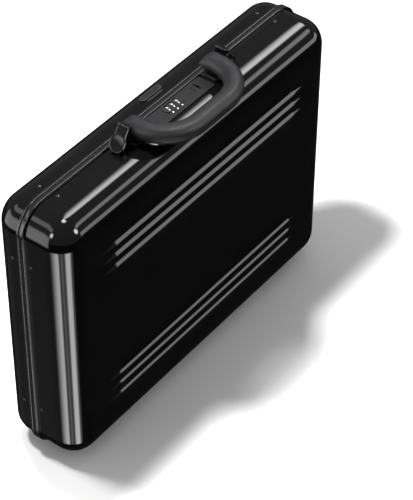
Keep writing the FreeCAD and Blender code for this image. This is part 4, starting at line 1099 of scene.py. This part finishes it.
columns, rows_up = 361, 181
azimuths, elevations = np.meshgrid(np.linspace(-180, 180, columns), np.linspace(-90, 90, rows_up))
lon, lat = np.radians(azimuths), np.radians(elevations)
SPHERE = 9.0
dome_points = SPHERE * np.stack([np.cos(lat) * np.cos(lon), np.cos(lat) * np.sin(lon), np.sin(lat)], -1)
dome_mesh = bpy.data.meshes.new("studio")
dome_mesh.from_pydata(dome_points.reshape(-1, 3).tolist(), [], patch(rows_up, columns).tolist())
glow = dome_mesh.attributes.new("glow", "FLOAT", "POINT")
glow.data.foreach_set("value", studio_light(azimuths, elevations).astype(np.float32).ravel())
dome = bpy.data.objects.new("studio", dome_mesh)
bpy.context.scene.collection.objects.link(dome)
dome_look = bpy.data.materials.new("studio_glow")
dome_look.use_nodes = True
dome_nodes, dome_links = dome_look.node_tree.nodes, dome_look.node_tree.links
dome_nodes.remove(dome_nodes["Principled BSDF"])
shine, attribute = dome_nodes.new("ShaderNodeEmission"), dome_nodes.new("ShaderNodeAttribute")
attribute.attribute_name = "glow"
dome_links.new(attribute.outputs["Fac"], shine.inputs["Strength"])
dome_links.new(shine.outputs["Emission"], dome_nodes["Material Output"].inputs["Surface"])
dome_look.cycles.emission_sampling = "NONE"
dome_mesh.materials.append(dome_look)
dome.visible_camera = dome.visible_diffuse = dome.visible_shadow = dome.visible_transmission = False
print("studio sphere:", len(dome_mesh.polygons), "faces")

# %% Floor
floor_mesh = bpy.data.meshes.new("floor")
floor_grid = np.linspace(-6, 6, 13)
fu, fv = np.meshgrid(floor_grid, floor_grid)
floor_mesh.from_pydata(np.stack([fu, fv, np.zeros(fu.shape)], -1).reshape(-1, 3).tolist(), [],
                       patch(*fu.shape).tolist())
floor = bpy.data.objects.new("floor", floor_mesh)
bpy.context.scene.collection.objects.link(floor)
floor_look, floor_nodes, floor_links, floor_shader = start_look("floor_paper", (0.9, 0.9, 0.9), 0.9)
floor_noise = object_noise(floor_nodes, floor_links, 300.0)
floor_links.new(tint(floor_nodes, floor_links, floor_noise, (0.89, 0.89, 0.89), (0.91, 0.91, 0.91)),
                floor_shader.inputs["Base Color"])
floor_mesh.materials.append(floor_look)
floor.visible_glossy = False
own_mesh(floor)

# %% Lights and world
def soft_light(name, at, aim, size, watts):
    """A square area light at a point, aimed at another."""
    data = bpy.data.lights.new(name, "AREA")
    data.size, data.energy = size, watts
    made = bpy.data.objects.new(name, data)
    made.location = at
    made.rotation_euler = (Vector(aim) - Vector(at)).to_track_quat("-Z", "Y").to_euler()
    bpy.context.scene.collection.objects.link(made)
    made.visible_glossy = False
    return made


soft_light("key", (-0.09, 0.166, 1.3), (0, 0, 0), 0.12, 24)
soft_light("fill", (-0.30, 0.39, 1.3), (0, 0, 0), 0.15, 13)
world = bpy.data.worlds.new("studio_air")
world.use_nodes = True
world.node_tree.nodes["Background"].inputs["Color"].default_value = (1, 1, 1, 1)
world.node_tree.nodes["Background"].inputs["Strength"].default_value = 0.5
bpy.context.scene.world = world
bpy.context.scene.view_settings.view_transform = "Standard"
